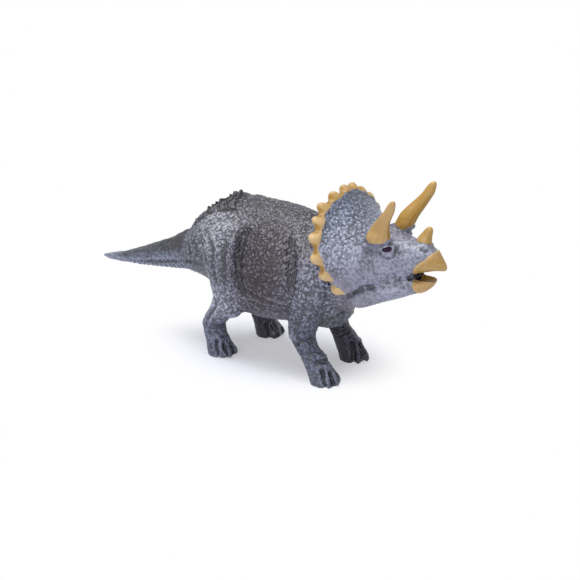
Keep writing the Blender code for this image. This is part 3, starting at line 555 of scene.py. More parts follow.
class Sculptor:
    """Moves the pattern's points in and out along their normals."""

    def __init__(self):
        self.refresh()

    def refresh(self):
        self.points = places(pattern.data)
        self.normals = directions(pattern.data)
        self.tree = BVHTree.FromPolygons(
            [tuple(p) for p in self.points], [tuple(f.vertices) for f in pattern.data.polygons]
        )
        self.lift = np.zeros(count)

    def place(self, spots):
        """Puts the pattern's points there."""
        put(pattern.data, spots)
        self.refresh()

    def in_mm(self):
        return (self.points / MM).T

    def seen(self, across, down):
        """The place on the pattern under a pixel of the photograph."""
        return self.tree.ray_cast(eye_point, sight(across, down))[0]

    def line(self, pixels):
        stops = [stop for stop in (self.seen(*pixel) for pixel in pixels) if stop is not None]
        return catmull(stops) if len(stops) > 1 else []

    def mirrored(self, line):
        """The same line on the far side, on the legs where these stand differently."""
        far = []
        for spot in line:
            lead = 0.0
            for (low, high), left, reach in FOOT_LEADS:
                if low < spot.x < high:
                    lead = (left - (low + high) / 2) * (1 - float(step(0, reach, spot.z)))
            far.append(self.tree.find_nearest(Vector((spot.x + lead, -spot.y, spot.z)))[0])
        return far

    def press(self, line, width, depth, fade=0.18, runs_out=False):
        """A round furrow (depth above 0) or ridge (below 0) along a line of places."""
        path = np.array([tuple(spot) for spot in line])
        reach = 2.5 * width
        inside = ((self.points > path.min(0) - reach) & (self.points < path.max(0) + reach)).all(1)
        chosen = np.nonzero(inside)[0]
        gaps = np.linalg.norm(self.points[chosen, None, :] - path[None, :, :], axis=2)
        along = gaps.argmin(1) / (len(path) - 1)
        ends = step(0, fade, along) * (1 if runs_out else step(0, fade, 1 - along))
        self.lift[chosen] -= depth * bell(gaps.min(1), width) * ends

    def fold(self, folds, both=True, runs_out=False):
        """Folds on the side that the photograph shows and, as a rule, on the far side too."""
        for pixels, width, depth in folds:
            line = self.line(pixels)
            if runs_out:
                sole = Vector((line[-1].x, line[-1].y, 0))
                line += [sole, sole + Vector((0, 2 * MM, 0))]
            for path in (line, self.mirrored(line)) if both else (line,):
                self.press(path, width * MM, depth * MM, runs_out=runs_out)

    def knead(self, spot, radius, height, stretch=(1, 1, 1)):
        """Raises or sinks a round patch of the skin."""
        away = np.linalg.norm((self.points - row(spot)) / np.array(stretch), axis=1)
        self.lift += height * MM * bell(away, radius * MM)

    def knead_both(self, spot, radius, height):
        for side in (1, -1):
            self.knead((spot.x, side * spot.y, spot.z), radius, height)

    def settle(self, rounds=2):
        """Carries out the moves and eases their edges."""
        moved = self.points + self.normals * self.lift[:, None]
        touched = np.clip(smoothed(np.minimum(np.abs(self.lift) / (0.1 * MM), 1), 1.0, 3), 0, 1)
        self.place(smoothed(moved, 0.5 * touched, rounds))


sculptor = Sculptor()

# Main masses, corrected against the photograph before any fold is cut: a stouter tail end, a
# higher neck, a chest that is tucked in behind the jaw, and a knee that hangs over the shin.
# Each knead is a pixel, a radius in mm and a height in mm.
TAIL_SWELL = 1.25
TAIL_DIP = 2.1
TAIL_DIP_PIXEL = (138, 250)
NECK_TOP_PIXEL = (304, 209)
CHEST_PIXEL = (352, 309)
NEAR_KNEADS = (
    ((233, 313), 5.5, 3.0),
    ((338, 322), 6.5, -2.4),
    ((323, 357), 4.5, 2.2),
    ((349.5, 337), 5.5, 3.5),
    ((356, 299.5), 5.5, 2.4),
)
UNDER_JAW_PIXELS = ((385, 295), (370, 299), (359, 299), (400, 292))
SHIN_SWELL = 1.7
FAR_LEG_LEAD = 2.8
x, y, z = sculptor.in_mm()
rise_up = sculptor.normals[:, 2]
tail_end = step(-62, -94, x) * (1 - 0.35 * step(-105, -117, x))
tail_end *= 1 - 0.9 * step(0.5, 0.95, -sculptor.normals[:, 0])
sculptor.lift += tail_end * TAIL_SWELL * MM * (1 + 0.9 * rise_up)
tail_back = middle_plane(*TAIL_DIP_PIXEL).x / MM
sculptor.lift -= TAIL_DIP * MM * bell(x - tail_back, 15) * np.clip(rise_up, 0, 1)
sculptor.knead(middle_plane(*NECK_TOP_PIXEL), 15, 2.6, (1.3, 1.0, 0.9))
sculptor.knead_both(sculptor.seen(*CHEST_PIXEL), 8.0, -3.6)
for pixel, radius, height in NEAR_KNEADS:
    sculptor.knead(sculptor.seen(*pixel), radius, height)
for pixel in UNDER_JAW_PIXELS:
    sculptor.knead_both(sculptor.seen(*pixel), 7.0, 1.8)
shin = softened((owner == SKIN_NODES.index("right_foreleg")) & (sculptor.normals[:, 0] > 0.2), 12)
sculptor.lift += SHIN_SWELL * MM * shin * bell(z - 36, 13)
sculptor.settle(4)
far_leg = softened(owner == SKIN_NODES.index("left_foreleg"), 12)
sculptor.points[:, 0] += FAR_LEG_LEAD * MM * far_leg * bell(z - 28, 16)
sculptor.place(sculptor.points)

# Crest: a comb of upright knobs along the rump's ridge, highest at its front end, with a gouge
# between each knob and the next that runs down both sides.
KNOB_SPACING = 5.0
COMB_DEPTH = 8.0
COMB_DROP = 2.3
KNOB_HEIGHT = 0.9
KNOB_TOP_HEIGHT = 1.2
COMB_EDGE_CUT = 0.9
PEAK_HEIGHT = 1.1
BEHIND_PEAK_HEIGHT = 1.3
RIDGE_HALF_WIDTH = 2.5
CREST_FRONT = middle_plane(245, 194).x / MM
CREST_BACK = middle_plane(201, 214).x / MM
x, y, z = sculptor.in_mm()
ridge_bins = np.round(x).astype(int) + 200
ridge_top = np.zeros(400)
on_ridge = np.abs(y) < RIDGE_HALF_WIDTH
np.maximum.at(ridge_top, ridge_bins[on_ridge], z[on_ridge])
below_top = ridge_top[ridge_bins] - z
comb_zone = step(9.5, 0, below_top) * step(9, 6, np.abs(y))
comb_zone *= step(CREST_BACK + 30, CREST_BACK + 12, x) * step(CREST_BACK - 12, CREST_BACK - 4, x)
sculptor.points[:, 2] -= COMB_DROP * MM * comb_zone
sculptor.place(sculptor.points)
rise_up = sculptor.normals[:, 2]
comb = step(CREST_BACK - 3, CREST_BACK + 3, x) * step(CREST_FRONT + 1.5, CREST_FRONT - 1.5, x)
comb *= step(COMB_DEPTH, COMB_DEPTH - 3, below_top) * step(22, 17, np.abs(y))
wander = 0.9 * np.sin(x * 0.35) + 0.5 * np.sin(x * 0.9 + y * 0.3)
knobs = np.abs(np.sin(np.pi * x / KNOB_SPACING + wander)) ** 0.7
sculptor.lift += comb * MM * (KNOB_HEIGHT * knobs - 0.25)
sculptor.lift -= COMB_EDGE_CUT * MM * (comb > 0.02) * bell(below_top - COMB_DEPTH + 0.6, 1.1)
sculptor.lift += comb * MM * KNOB_TOP_HEIGHT * (knobs - 0.5) * step(0.1, 0.7, rise_up)
behind_peak = bell(x - CREST_FRONT - 7, 6) * step(0.3, 0.8, rise_up)
sculptor.lift += BEHIND_PEAK_HEIGHT * MM * behind_peak * step(8, 3, np.abs(y)) * (z > 80)
front_peak = comb * bell(x - CREST_FRONT + 3, 7)
sculptor.lift += PEAK_HEIGHT * MM * front_peak * step(0, 0.5, rise_up)
sculptor.settle(3)

# Torso: the thigh bulges over the flank with a deep fold before it, the shoulder has a softer
# fold behind it, and slack folds of skin run along the belly between the legs. Each fold is
# its stops in pixels, its width in mm and its depth in mm.
TORSO_FOLDS = (
    (((249, 224), (244.5, 231), (241.5, 240), (239, 250), (237.4, 261), (237, 272), (238.5, 284),
      (242, 294), (247, 302)), 2.6, 2.7),
    (((249, 244), (246.5, 256), (246, 268), (248, 282), (253, 294)), 5.5, 0.5),
    (((236, 232), (232, 245), (229.5, 260), (229.5, 275), (232, 290)), 4.5, -1.2),
    (((290, 234), (289.4, 245), (290, 257), (291.5, 270), (291.9, 280), (290, 290), (288, 300)),
     3.0, 1.8),
    (((300, 238), (302, 255), (303, 270), (302, 285)), 5.0, -1.1),
    (((247, 292), (253.8, 297), (261.2, 300.6), (270, 303.8), (280, 306.2), (287.5, 306.9)), 1.6, 1.5),
    (((256, 290), (261, 296), (270, 300), (280, 304), (288, 305)), 1.5, -1.1),
    (((246, 300), (256.2, 305), (267.5, 308.8), (278.8, 311.2), (288.8, 312.8)), 1.5, 1.2),
    (((250, 303), (262, 308.5), (275, 313), (287, 316)), 1.2, 0.6),
    (((307.5, 300), (312.5, 292.5), (316.2, 285)), 1.8, 0.7),
    (((309, 304), (315, 296), (319, 288)), 1.6, -0.5),
    (((326, 321), (332, 319.5), (338, 316.5), (345, 313)), 1.5, 1.3),
)
sculptor.fold(TORSO_FOLDS)

# Tail root and rump: hanging folds that follow the tail's root down to the thigh.
RUMP_FOLDS = (
    (((205, 228), (209, 240), (211, 252), (211.2, 266), (214, 278), (217.5, 290)), 1.9, 1.2),
    (((211, 230), (215, 244), (217, 258), (217.5, 272), (221, 285)), 2.2, -0.9),
    (((222, 232), (224, 246), (224, 260), (224, 274), (226, 288)), 2.0, 1.0),
    (((198, 236), (202, 246), (204, 256), (204.5, 264)), 1.6, 1.0),
    (((192, 240), (195.5, 248), (197, 258)), 1.5, 0.8),
    (((186, 242), (189, 249), (190, 257)), 1.3, 0.6),
    (((130, 262.5), (150, 262), (170, 262), (190, 262.8), (203, 265)), 1.2, 0.8),
    (((150, 259), (170, 259), (190, 259), (203, 260)), 1.2, -0.4),
)
sculptor.fold(RUMP_FOLDS)
sculptor.settle()

# Legs: a flap of skin behind the knee, creased joints, and toes with small rings.
LEG_FOLDS = (
    (((216.5, 300), (214, 308), (209.5, 315), (206, 321)), 1.5, 1.3),
    (((219, 302), (216.5, 309), (212.5, 316), (209, 323)), 1.6, -0.7),
    (((204.5, 327), (210, 329), (217, 328), (222, 325)), 1.2, 0.5),
    (((206, 331), (212, 333), (219, 331.5)), 1.1, 0.4),
    (((222, 312), (228, 314), (236, 312), (241, 309)), 1.4, 0.4),
    (((208.5, 345), (212, 347), (215, 345)), 0.8, 0.3),
    (((218.5, 344), (221.5, 346), (224, 344.5)), 0.8, 0.3),
    (((290.5, 335), (294, 339.5), (298, 343)), 1.5, -1.0),
    (((291, 339), (295, 343.5), (300, 346)), 1.2, 0.8),
    (((296, 338), (301, 341), (308, 341), (314, 338)), 1.3, 0.8),
    (((293, 334), (299, 331), (306, 333), (313, 332)), 1.3, 0.4),
    (((313, 365), (318, 362), (324, 362.5), (327, 361.5)), 1.1, 0.8),
    (((312, 361.5), (317, 358), (323, 358)), 1.1, -0.4),
    (((314.5, 374), (317.5, 375), (320.5, 373.5)), 0.7, 0.35),
    (((315, 377.5), (318, 378.5), (321, 377)), 0.7, 0.35),
    (((315.5, 381), (318.5, 382), (321.5, 380.5)), 0.7, 0.35),
    (((324.5, 377), (327.5, 378), (330, 376.5)), 0.7, 0.35),
    (((325, 380.5), (328, 381.5), (331, 380)), 0.7, 0.35),
)
sculptor.fold(LEG_FOLDS)
sculptor.settle()

# The furrows between the toes run out over the edge of the sole.
TOE_FURROWS = (
    (((217.5, 338), (216, 346), (217.5, 354), (218, 357)), 1.0, 2.2),
    (((224, 340), (225, 348), (226, 354), (226, 357)), 1.0, 2.2),
    (((230, 340), (232.5, 346), (233.5, 351), (234.5, 354.5)), 1.0, 2.2),
    (((321.5, 369), (322.5, 375), (323.5, 382), (324.5, 386.5)), 1.0, 2.3),
    (((329.5, 370.5), (331.5, 376), (333, 382), (333.8, 385.5)), 1.0, 2.3),
    (((335.5, 371), (338, 376), (339, 380)), 0.9, 1.8),
)
FAR_TOE_FURROWS = (
    (((351.5, 341), (353, 348), (353.5, 355), (353.5, 360)), 1.2, 2.0),
    (((358.5, 341), (361, 347), (362, 353), (362, 358)), 1.1, 1.8),
    (((361, 343.5), (363, 348), (364, 352)), 1.0, 1.5),
    (((266, 322), (267.5, 330), (268.5, 337)), 1.1, 1.6),
    (((273, 320), (276.5, 328), (278.5, 335)), 1.1, 1.6),
    (((279, 321), (281.5, 326), (283, 331)), 1.0, 1.3),
)
ELBOW_PIXEL = (291, 336)
sculptor.fold(TOE_FURROWS + FAR_TOE_FURROWS, both=False, runs_out=True)
sculptor.knead(sculptor.seen(*ELBOW_PIXEL), 2.6, 1.3)
sculptor.settle()

# The mouth: its lining comes forward between the beaks as a tongue.
TONGUE_REACH = 5.0
TONGUE_PIXEL = (421, 275)
TONGUE_RADII = (5, 6.5, 3.4)
tongue = row(middle_plane(*TONGUE_PIXEL)) / MM
x, y, z = sculptor.in_mm()
off_tongue = ((x - tongue[0] + 3) / TONGUE_RADII[0]) ** 2 + (y / TONGUE_RADII[1]) ** 2
off_tongue += ((z - tongue[2]) / TONGUE_RADII[2]) ** 2
sculptor.points[:, 0] += TONGUE_REACH * MM * np.exp(-off_tongue) * step(0.1, 0.6, sculptor.normals[:, 0])
sculptor.place(sculptor.points)

# Eyes: the plain swelling on the solids is worked flat, and an almond socket with a lower lid
# and a ringed bag is cut in its place, tilted up to the front.
EYE_PIXEL = (388.0, 249.8)
EYE_HALF_LENGTH = 2.75
EYE_HALF_HEIGHT = 1.35
EYE_TILT_DEG = 14.0
EYE_PATCH = 7
SOCKET_DEPTH = 1.3
LID_HEIGHT = 0.55
BAG_DROP = 1.2
BAG_HALF_HEIGHT = 3.9
BAG_RING_DEPTH = 0.60
eye_spot = sculptor.seen(*EYE_PIXEL)
distance = far_from(sculptor.points, row(eye_spot)) / MM
out_axis = Vector(sculptor.normals[distance < EYE_PATCH].mean(0)).normalized()
forward = (Vector((1, 0, 0)) - out_axis * out_axis.x).normalized()
rise = out_axis.cross(forward)
if rise.z < 0:
    rise = -rise
tilt = math.radians(EYE_TILT_DEG)
fore = forward * math.cos(tilt) + rise * math.sin(tilt)
up = rise * math.cos(tilt) - forward * math.sin(tilt)
eye_frame = np.array([tuple(fore), tuple(up), tuple(out_axis)])


def beside_eye():
    """Each point's place in the eye's own frame, in mm: forward, up and out, on either side."""
    spots = np.where(sculptor.points[:, 1:2] > 0, sculptor.points * (1, -1, 1), sculptor.points)
    return ((spots - row(eye_spot)) @ eye_frame.T / MM).T


fore_mm, up_mm, out_mm = beside_eye()
patch = np.exp(-((fore_mm / 7.5) ** 4 + ((up_mm + 2.5) / 7.5) ** 4 + (out_mm / 6) ** 4))
sculptor.place(smoothed(sculptor.points, 0.9 * patch, 90))
fore_mm, up_mm, out_mm = beside_eye()
almond = np.hypot(fore_mm / EYE_HALF_LENGTH, up_mm / EYE_HALF_HEIGHT)
bag = np.hypot(fore_mm / (EYE_HALF_LENGTH + 1.5), (up_mm + BAG_DROP) / BAG_HALF_HEIGHT)
sculptor.lift += bell(out_mm, 5, 4) * MM * (
    -SOCKET_DEPTH * step(1.15, 0.7, almond)
    + LID_HEIGHT * bell(almond - 1.35, 0.28)
    + 0.50 * np.exp(-((fore_mm / 3.4) ** 2 + ((up_mm + 3.4) / 1.5) ** 2))
    - BAG_RING_DEPTH * bell(bag - 1.0, 0.15) * step(0.0, -1.8, up_mm)
    + 0.40 * bell(bag - 1.28, 0.16) * step(-1.5, -3.0, up_mm)
    - 0.60 * np.exp(-((fore_mm / 4.6) ** 4 + ((up_mm - 3.1) / 0.9) ** 2))
    + 0.90 * np.exp(-((fore_mm / 7.0) ** 4 + ((up_mm - 5.2) / 1.5) ** 2))
)
sculptor.settle(1)

# Head: a nostril slit in a patch worked flat, a brow ridge from the horn to the snout, slack
# cheek folds behind the corner of the mouth, and the frill's free edge over the throat.
NOSTRIL_PIXEL = (424.5, 250)
NOSTRIL_PATCH = 4.2 * MM
HEAD_FOLDS = (
    (((392, 241.5), (397, 243), (403, 243), (410, 241.5), (415, 239.5)), 1.6, -0.8),
    (((394.5, 251), (400, 252), (406, 252), (412, 251.5)), 1.7, 0.7),
    (((420.5, 249), (423.5, 250.4), (429, 251.6)), 0.8, 1.2),
    (((419, 246.2), (423.5, 247), (429, 248.6)), 1.1, -0.7),
    (((407.5, 280), (410, 278.4), (413, 276.8), (416, 275.3), (419.5, 274.3)), 1.0, 2.4),
    (((405.5, 282.5), (408.5, 281.5), (412, 281)), 0.9, -0.6),
    (((400.5, 277), (401, 282), (403, 286.5), (406, 289.5)), 1.1, 0.9),
    (((404.5, 272), (403, 277), (403.5, 282), (406, 286)), 1.1, -0.5),
    (((397, 270), (395, 276), (395.5, 283), (398, 289)), 1.3, 0.6),
    (((389, 272), (387.5, 279), (389, 286)), 1.3, 0.4),
    (((382.5, 285), (383.5, 289), (387, 291)), 1.0, 0.5),
    (((384, 291), (390, 292.5), (397, 291.5), (403, 291.5), (408, 295)), 1.1, -0.5),
    (((390, 294.5), (396, 292.8), (401, 293)), 1.0, 0.5),
    (((342, 297.5), (350, 295), (357, 290), (362, 286.8), (370, 287), (378, 290.5)), 1.7, 1.1),
    (((341, 293.5), (349, 291.5), (356, 286.5), (362, 283.8), (369, 284)), 1.4, -0.5),
    (((386, 233), (391, 230.5), (397, 231.5), (402, 230)), 1.5, -0.5),
)
nostril = row(sculptor.seen(*NOSTRIL_PIXEL))
for side in (1, -1):
    away = far_from(sculptor.points, nostril * (1, side, 1))
    sculptor.place(smoothed(sculptor.points, 0.9 * bell(away, NOSTRIL_PATCH, 4), 60))
sculptor.fold(HEAD_FOLDS)
sculptor.settle()
points = places(pattern.data)
normals = directions(pattern.data)

# Skin texture: the pattern was pressed all over with puffy wrinkles and pebbles, coarse on the
# flanks and finer on legs, tail and face. Worm-like beads come from folded noise, and pebbles
# from cells round scattered seeds. Depth and grain follow the region.
TABLE = 256
table_draw = np.random.RandomState(11)
shuffle = table_draw.permutation(TABLE).astype(np.int32)
slopes = table_draw.normal(size=(TABLE, 3)).astype(np.float32)
slopes /= np.linalg.norm(slopes, axis=1)[:, None]
seeds = table_draw.uniform(size=(TABLE, 3)).astype(np.float32)


def noise(spots):
    """Smooth noise between about -1 and 1, with one swell to a unit of length."""
    cell = np.floor(spots).astype(np.int32)
    inner = (spots - cell).astype(np.float32)
    blend = inner**3 * (inner * (inner * 6 - 15) + 10)
    total = np.zeros(len(spots), np.float32)
    for i in (0, 1):
        hash_x = shuffle[(cell[:, 0] + i) & (TABLE - 1)]
        share_x = blend[:, 0] if i else 1 - blend[:, 0]
        for j in (0, 1):
            hash_y = shuffle[(hash_x + cell[:, 1] + j) & (TABLE - 1)]
            share_y = share_x * (blend[:, 1] if j else 1 - blend[:, 1])
            for k in (0, 1):
                slope = slopes[shuffle[(hash_y + cell[:, 2] + k) & (TABLE - 1)]]
                climb = slope[:, 0] * (inner[:, 0] - i) + slope[:, 1] * (inner[:, 1] - j)
                climb += slope[:, 2] * (inner[:, 2] - k)
                total += share_y * (blend[:, 2] if k else 1 - blend[:, 2]) * climb
    return 1.6 * total


def beaded(spots, spacing, stretch=(1, 1, 1)):
    """Height from 0 in the dark creases to 1 on top of worm-like beads, about that far apart."""
    period = spacing * MM
    swirl = np.stack([noise(spots / (1.6 * period) + 9 * k) for k in (1, 2, 3)], axis=1)
    warped = spots / np.array(stretch) + 0.45 * period * swirl
    beads = step(-0.30, 0.55, noise(warped / period))
    ridges = 1 - np.minimum(np.abs(noise(warped / (1.5 * period) + 31)) / 0.45, 1) ** 1.2
    grit = step(-0.6, 0.6, noise(warped / (0.62 * period) + 57))
    return 0.50 * beads + 0.30 * ridges + 0.20 * grit


def pebbled(spots, spacing, stretch=(1, 1, 1)):
    """Height from 0 in the cracks to 1 on rounded pebbles, about that far apart."""
    period = spacing * MM
    swirl = np.stack([noise(spots / (1.3 * period) + 9 * k) for k in (4, 5, 6)], axis=1)
    warped = (spots / np.array(stretch) + 0.5 * period * swirl) / period
    cell = np.floor(warped).astype(np.int32)
    inner = (warped - cell).astype(np.float32)
    nearest = np.full(len(spots), 9.0, np.float32)
    second = nearest.copy()
    for i in (-1, 0, 1):
        hash_x = shuffle[(cell[:, 0] + i) & (TABLE - 1)]
        for j in (-1, 0, 1):
            hash_y = shuffle[(hash_x + cell[:, 1] + j) & (TABLE - 1)]
            for k in (-1, 0, 1):
                seed = seeds[shuffle[(hash_y + cell[:, 2] + k) & (TABLE - 1)]]
                away = (seed[:, 0] + i - inner[:, 0]) ** 2 + (seed[:, 1] + j - inner[:, 1]) ** 2
                away += (seed[:, 2] + k - inner[:, 2]) ** 2
                second = np.minimum(second, np.maximum(nearest, away))
                nearest = np.minimum(nearest, away)
    nearest, second = np.sqrt(nearest), np.sqrt(second)
    return np.clip(1.25 * step(0.0, 0.50, second - nearest) - 0.25 * nearest, 0, 1)


x, y, z = (points / MM).T
width = np.abs(y)


def blob(centre, radii, sharp=1.0):
    """1 inside an egg of the given radii in millimetres, on both sides, fading to 0."""
    reach = ((x - centre[0]) / radii[0]) ** 2 + ((width - centre[1]) / radii[1]) ** 2
    reach += ((z - centre[2]) / radii[2]) ** 2
    return np.exp(-(reach**sharp))


# a point under an ochre insert belongs to the head or the jaw, whichever is nearer
owner_now = owner.copy()
under = np.nonzero(~is_skin)[0]
head_kinds = np.array([SKIN_NODES.index(node) for node in HEAD_NODES])
owner_now[under] = head_kinds[nearest_node(points[under], HEAD_NODES)]
on = {node: softened(owner_now == k, 30) for k, node in enumerate(SKIN_NODES)}
owner_now = np.stack([on[node] for node in SKIN_NODES]).argmax(0)
on_head = on["head"] + on["lower_jaw"]
on_legs = sum(on[node] for node in LEG_NODES)
low_leg = on_legs * step(40, 24, z)
on_tail = on["tail"]
flank = blob((20, 30, 62), (20, 30, 26), 2) * (1 - on_legs)
frill = on_head * step(78, 70, x) * step(60, 72, z)
face = on_head * (1 - frill)
feet = low_leg * step(16, 8, z)

coarse = 0.35 * beaded(points, 2.8) + 0.65 * pebbled(points, 2.9, (1.15, 1.15, 1.0))
middling = 0.45 * beaded(points, 2.4) + 0.55 * pebbled(points, 2.5)
fine = 0.6 * beaded(points, 1.9) + 0.4 * pebbled(points, 2.0)
long_folds = beaded(points, 2.0, (3.0, 3.0, 0.9))
shares = np.stack([
    np.clip(0.35 + 1.2 * flank - 0.6 * frill - on_tail - low_leg - face, 0.001, 2),
    np.clip(0.6 - 0.8 * face - 0.4 * on_tail, 0.001, 1),
    np.clip(0.15 + 0.9 * face + 0.5 * frill + 0.6 * low_leg + 0.5 * on_tail, 0.001, 1),
    np.clip(0.9 * on_tail * step(58, 48, z) + 0.5 * blob((20, 15, 28), (30, 25, 7), 2), 0, 1),
])
shares /= shares.sum(0)
relief = (shares * np.stack([coarse, middling, fine, long_folds])).sum(0)
depth = 0.80 + 0.15 * flank + 0.15 * blob((5, 10, 92), (40, 22, 14)) - 0.15 * frill
depth = depth - 0.48 * face - 0.25 * on_tail - 0.25 * low_leg - 0.30 * feet
smooth_cheek = blob((72, 36, 68), (9, 14, 9), 2) * on_head
beside_insert = softened((~is_skin & ~is_rim) | collar, 5)
depth = depth * (1 - 0.45 * smooth_cheek)
depth = depth * (1 - 0.85 * softened(is_rim, 2))
depth = depth * (1 - np.clip(1.8 * beside_insert, 0, 1))
depth = depth * (1 - step(0.6, 0.1, z))

# The comb keeps its own knobs, and the tail's underside is ruffled from side to side
RUFFLE_SPACING = 3.6
relief = relief * (1 - 0.6 * comb) + 0.6 * comb * knobs
ruffle = step(-102, -90, x) * step(-30, -42, x) * step(-0.35, -0.75, normals[:, 2])
ruffles = np.abs(np.sin(np.pi * x / RUFFLE_SPACING + 1.2 * noise(points / (4 * MM)))) ** 0.8
relief = relief * (1 - 0.8 * ruffle) + 0.8 * ruffle * ruffles
depth = depth + 1.0 * ruffle

points = points - normals * (depth * MM * (1 - relief))[:, None]
put(pattern.data, points)
facing = directions(pattern.data)
hollow = np.einsum("ij,ij->i", smoothed(points, 1.0, 14) - points, facing) / MM


# Paint: the grey-violet PVC got a dark wash that stays in the creases and a pale dry brush that
# catches the tops. The spray underneath changes from zone to zone: charcoal along the crest,
# brown-violet on the flank and belly, blue-grey on tail and legs, pale lavender on the face.
def linear(colour):
    """An sRGB hex colour as the linear red, green and blue that Blender mixes."""
    parts = [int(colour[i : i + 2], 16) / 255 for i in (1, 3, 5)]
    return [p / 12.92 if p <= 0.04045 else ((p + 0.055) / 1.055) ** 2.4 for p in parts]


BASE_SPRAY = "#6f7080"
BASE_WEIGHT = 0.12
SPRAYED_ZONES = (
    ("#8d8a94", 1.2 * blob((30, 25, 80), (12, 14, 16))),
    ("#a0a0b2", 1.5 * blob((40, 30, 55), (12, 14, 15))),
    ("#605f6a", 1.6 * blob((12, 0, 96), (40, 16, 9))),
    ("#392836", 3.0 * blob((18, 30, 66), (18, 22, 24), 1.3)),
    ("#77727f", 1.4 * blob((18, 16, 40), (22, 22, 10))),
    ("#757584", blob((-8, 28, 66), (16, 16, 20))),
    ("#b0b0bc", 1.6 * blob((-22, 20, 80), (16, 16, 11))),
    ("#5c5f6e", 1.5 * blob((-38, 20, 74), (8, 16, 14))),
    ("#757c90", 1.2 * blob((-80, 0, 50), (26, 16, 8))),
    ("#26272f", 3.0 * on_tail * step(0.15, 0.7, normals[:, 2]) * step(-106, -92, x)),
    ("#7c7e8c", blob((-114, 0, 44), (10, 10, 10))),
    ("#2a2933", 3.2 * blob((-30, 0, 88), (28, 9.5, 13), 2)),
    ("#b0b1c4", 2.0 * on_legs * blob((-20, 28, 37), (14, 14, 10))),
    ("#676b82", 1.4 * low_leg * blob((-22, 26, 16), (24, 16, 10))),
    ("#525464", 1.4 * low_leg * step(10, 5, z) * step(0, -12, x)),
    ("#545a70", 1.6 * on_legs * blob((40, 26, 30), (24, 20, 18))),
    ("#5a5f70", 1.4 * low_leg * step(10, 5, z) * step(10, 20, x)),
    ("#858fa8", 2.2 * frill * blob((66, 24, 98), (20, 34, 12))),
    ("#c3c8dc", 2.4 * frill * blob((72, 26, 86), (16, 30, 10))),
    ("#9a98aa", 2.2 * frill * blob((72, 30, 68), (16, 30, 9))),
    ("#9291a4", 1.4 * face * blob((82, 20, 68), (10, 14, 12))),
    ("#9c9cb0", 1.5 * face * blob((92, 12, 78), (14, 14, 12))),
    ("#9a9eae", 1.6 * face * blob((104, 8, 84), (11, 12, 10))),
    ("#9d9eb0", 1.5 * face * blob((94, 12, 62), (12, 12, 7))),
    ("#85828f", 1.6 * face * blob((74, 10, 48), (20, 16, 8))),
)
INNER_LEG_SHADE = (0.83, 0.87, 0.76)
COMB_SHADE = 0.68
RIDGE_SHADE = 0.35
weight = np.full(count, BASE_WEIGHT)
tone = weight[:, None] * np.array(linear(BASE_SPRAY))
for colour, zone in SPRAYED_ZONES:
    tone += zone[:, None] * np.array(linear(colour))
    weight += zone
tone /= weight[:, None]
# the legs' inner sides, turned away from the light, are darker and get no dry brush: partly a heavier wash,
# partly painted shade
inner_leg = on_legs * step(-0.1, 0.5, -np.sign(y) * facing[:, 1]) * step(62, 40, z)
tone *= 1 - inner_leg[:, None] * np.array(INNER_LEG_SHADE)
ridge = step(4.5, 1.0, below_top) * (on["torso"] + on_tail) * step(CREST_BACK - 45, CREST_BACK - 20, x)
tone *= (1 - COMB_SHADE * np.clip(comb, 0, 1) - RIDGE_SHADE * ridge * (1 - comb))[:, None]

# Inside the mouth the colour is near black, partly the lining's own dark paint and partly painted
# shade: a point is in there when another part of the head stands close in front of it. The mouth's
# corner slit and the nostrils get the same near black, as painted shade in the slits.
MOUTH_LINING_AND_SHADE = "#2c2530"
MOUTH_CORNER = ((410.5, 278.2), (413, 276.8), (415, 275.6), (417, 274.9), (419, 274.3))
MOUTH_CORNER_WIDTH = 0.65 * MM
NOSTRIL = ((422, 249.6), (424, 250.4), (427, 251.2))
NOSTRIL_WIDTH = 0.7 * MM
MOUTH_SIGHT = 13 * MM
SIGHT_START = 0.3 * MM
mouth_tree = BVHTree.FromPolygons(
    [tuple(p) for p in points], [tuple(polygon.vertices) for polygon in pattern.data.polygons]
)
mouth = np.zeros(count)
near_mouth = (x > 88) & (x < 116) & (width < 13) & (z > 56) & (z < 76)
for i in np.nonzero(near_mouth)[0]:
    start = Vector(points[i] + facing[i] * SIGHT_START)
    mouth[i] = mouth_tree.ray_cast(start, Vector(facing[i]), MOUTH_SIGHT)[0] is not None
for pixels, line_width, strength in ((MOUTH_CORNER, MOUTH_CORNER_WIDTH, 1.0), (NOSTRIL, NOSTRIL_WIDTH, 0.7)):
    for spot in sculptor.line(pixels):
        for side in (1, -1):
            away = far_from(points, row(spot) * (1, side, 1))
            mouth = np.maximum(mouth, strength * bell(away, line_width))
mouth = np.clip(smoothed(mouth, 1.0, 3) * 1.6 - 0.3, 0, 1)
tone += mouth[:, None] * (np.array(linear(MOUTH_LINING_AND_SHADE)) - tone)

WASH_MIDDLE = 0.58
wash = np.clip(0.60 * relief + 0.40 * (0.5 - hollow / 0.45), 0, 1)
contrast = 1.15 - 0.55 * face - 0.2 * smooth_cheek - 0.2 * on_tail - frill * (0.45 + 0.25 * step(92, 78, z))
wash = WASH_MIDDLE + (wash - WASH_MIDDLE) * contrast
wash = wash * (1 - mouth) + 0.5 * mouth
grain = np.clip(1.0 - 0.70 * face - 0.25 * on_tail - 0.35 * feet - 0.3 * smooth_cheek - mouth, 0, 1)
brush = 1.0 - 0.45 * np.clip(1.3 * blob((18, 30, 62), (17, 22, 24), 1.5), 0, 1) + 0.4 * frill
brush = brush * (1 - inner_leg) * (1 - 0.8 * mouth) * (1 - 0.8 * comb)


def give(mesh, name, values):
    """Keeps a value, or a colour, for each point as an attribute that the materials read."""
    kind, field = ("FLOAT", "value") if values.ndim == 1 else ("FLOAT_COLOR", "color")
    attribute = mesh.attributes.new(name, kind, "POINT")
    attribute.data.foreach_set(field, values.astype(np.float32).ravel())


give(pattern.data, "tone", np.hstack([tone, np.ones((count, 1))]))
give(pattern.data, "wash", wash)
give(pattern.data, "grain", grain)
give(pattern.data, "brush", brush)

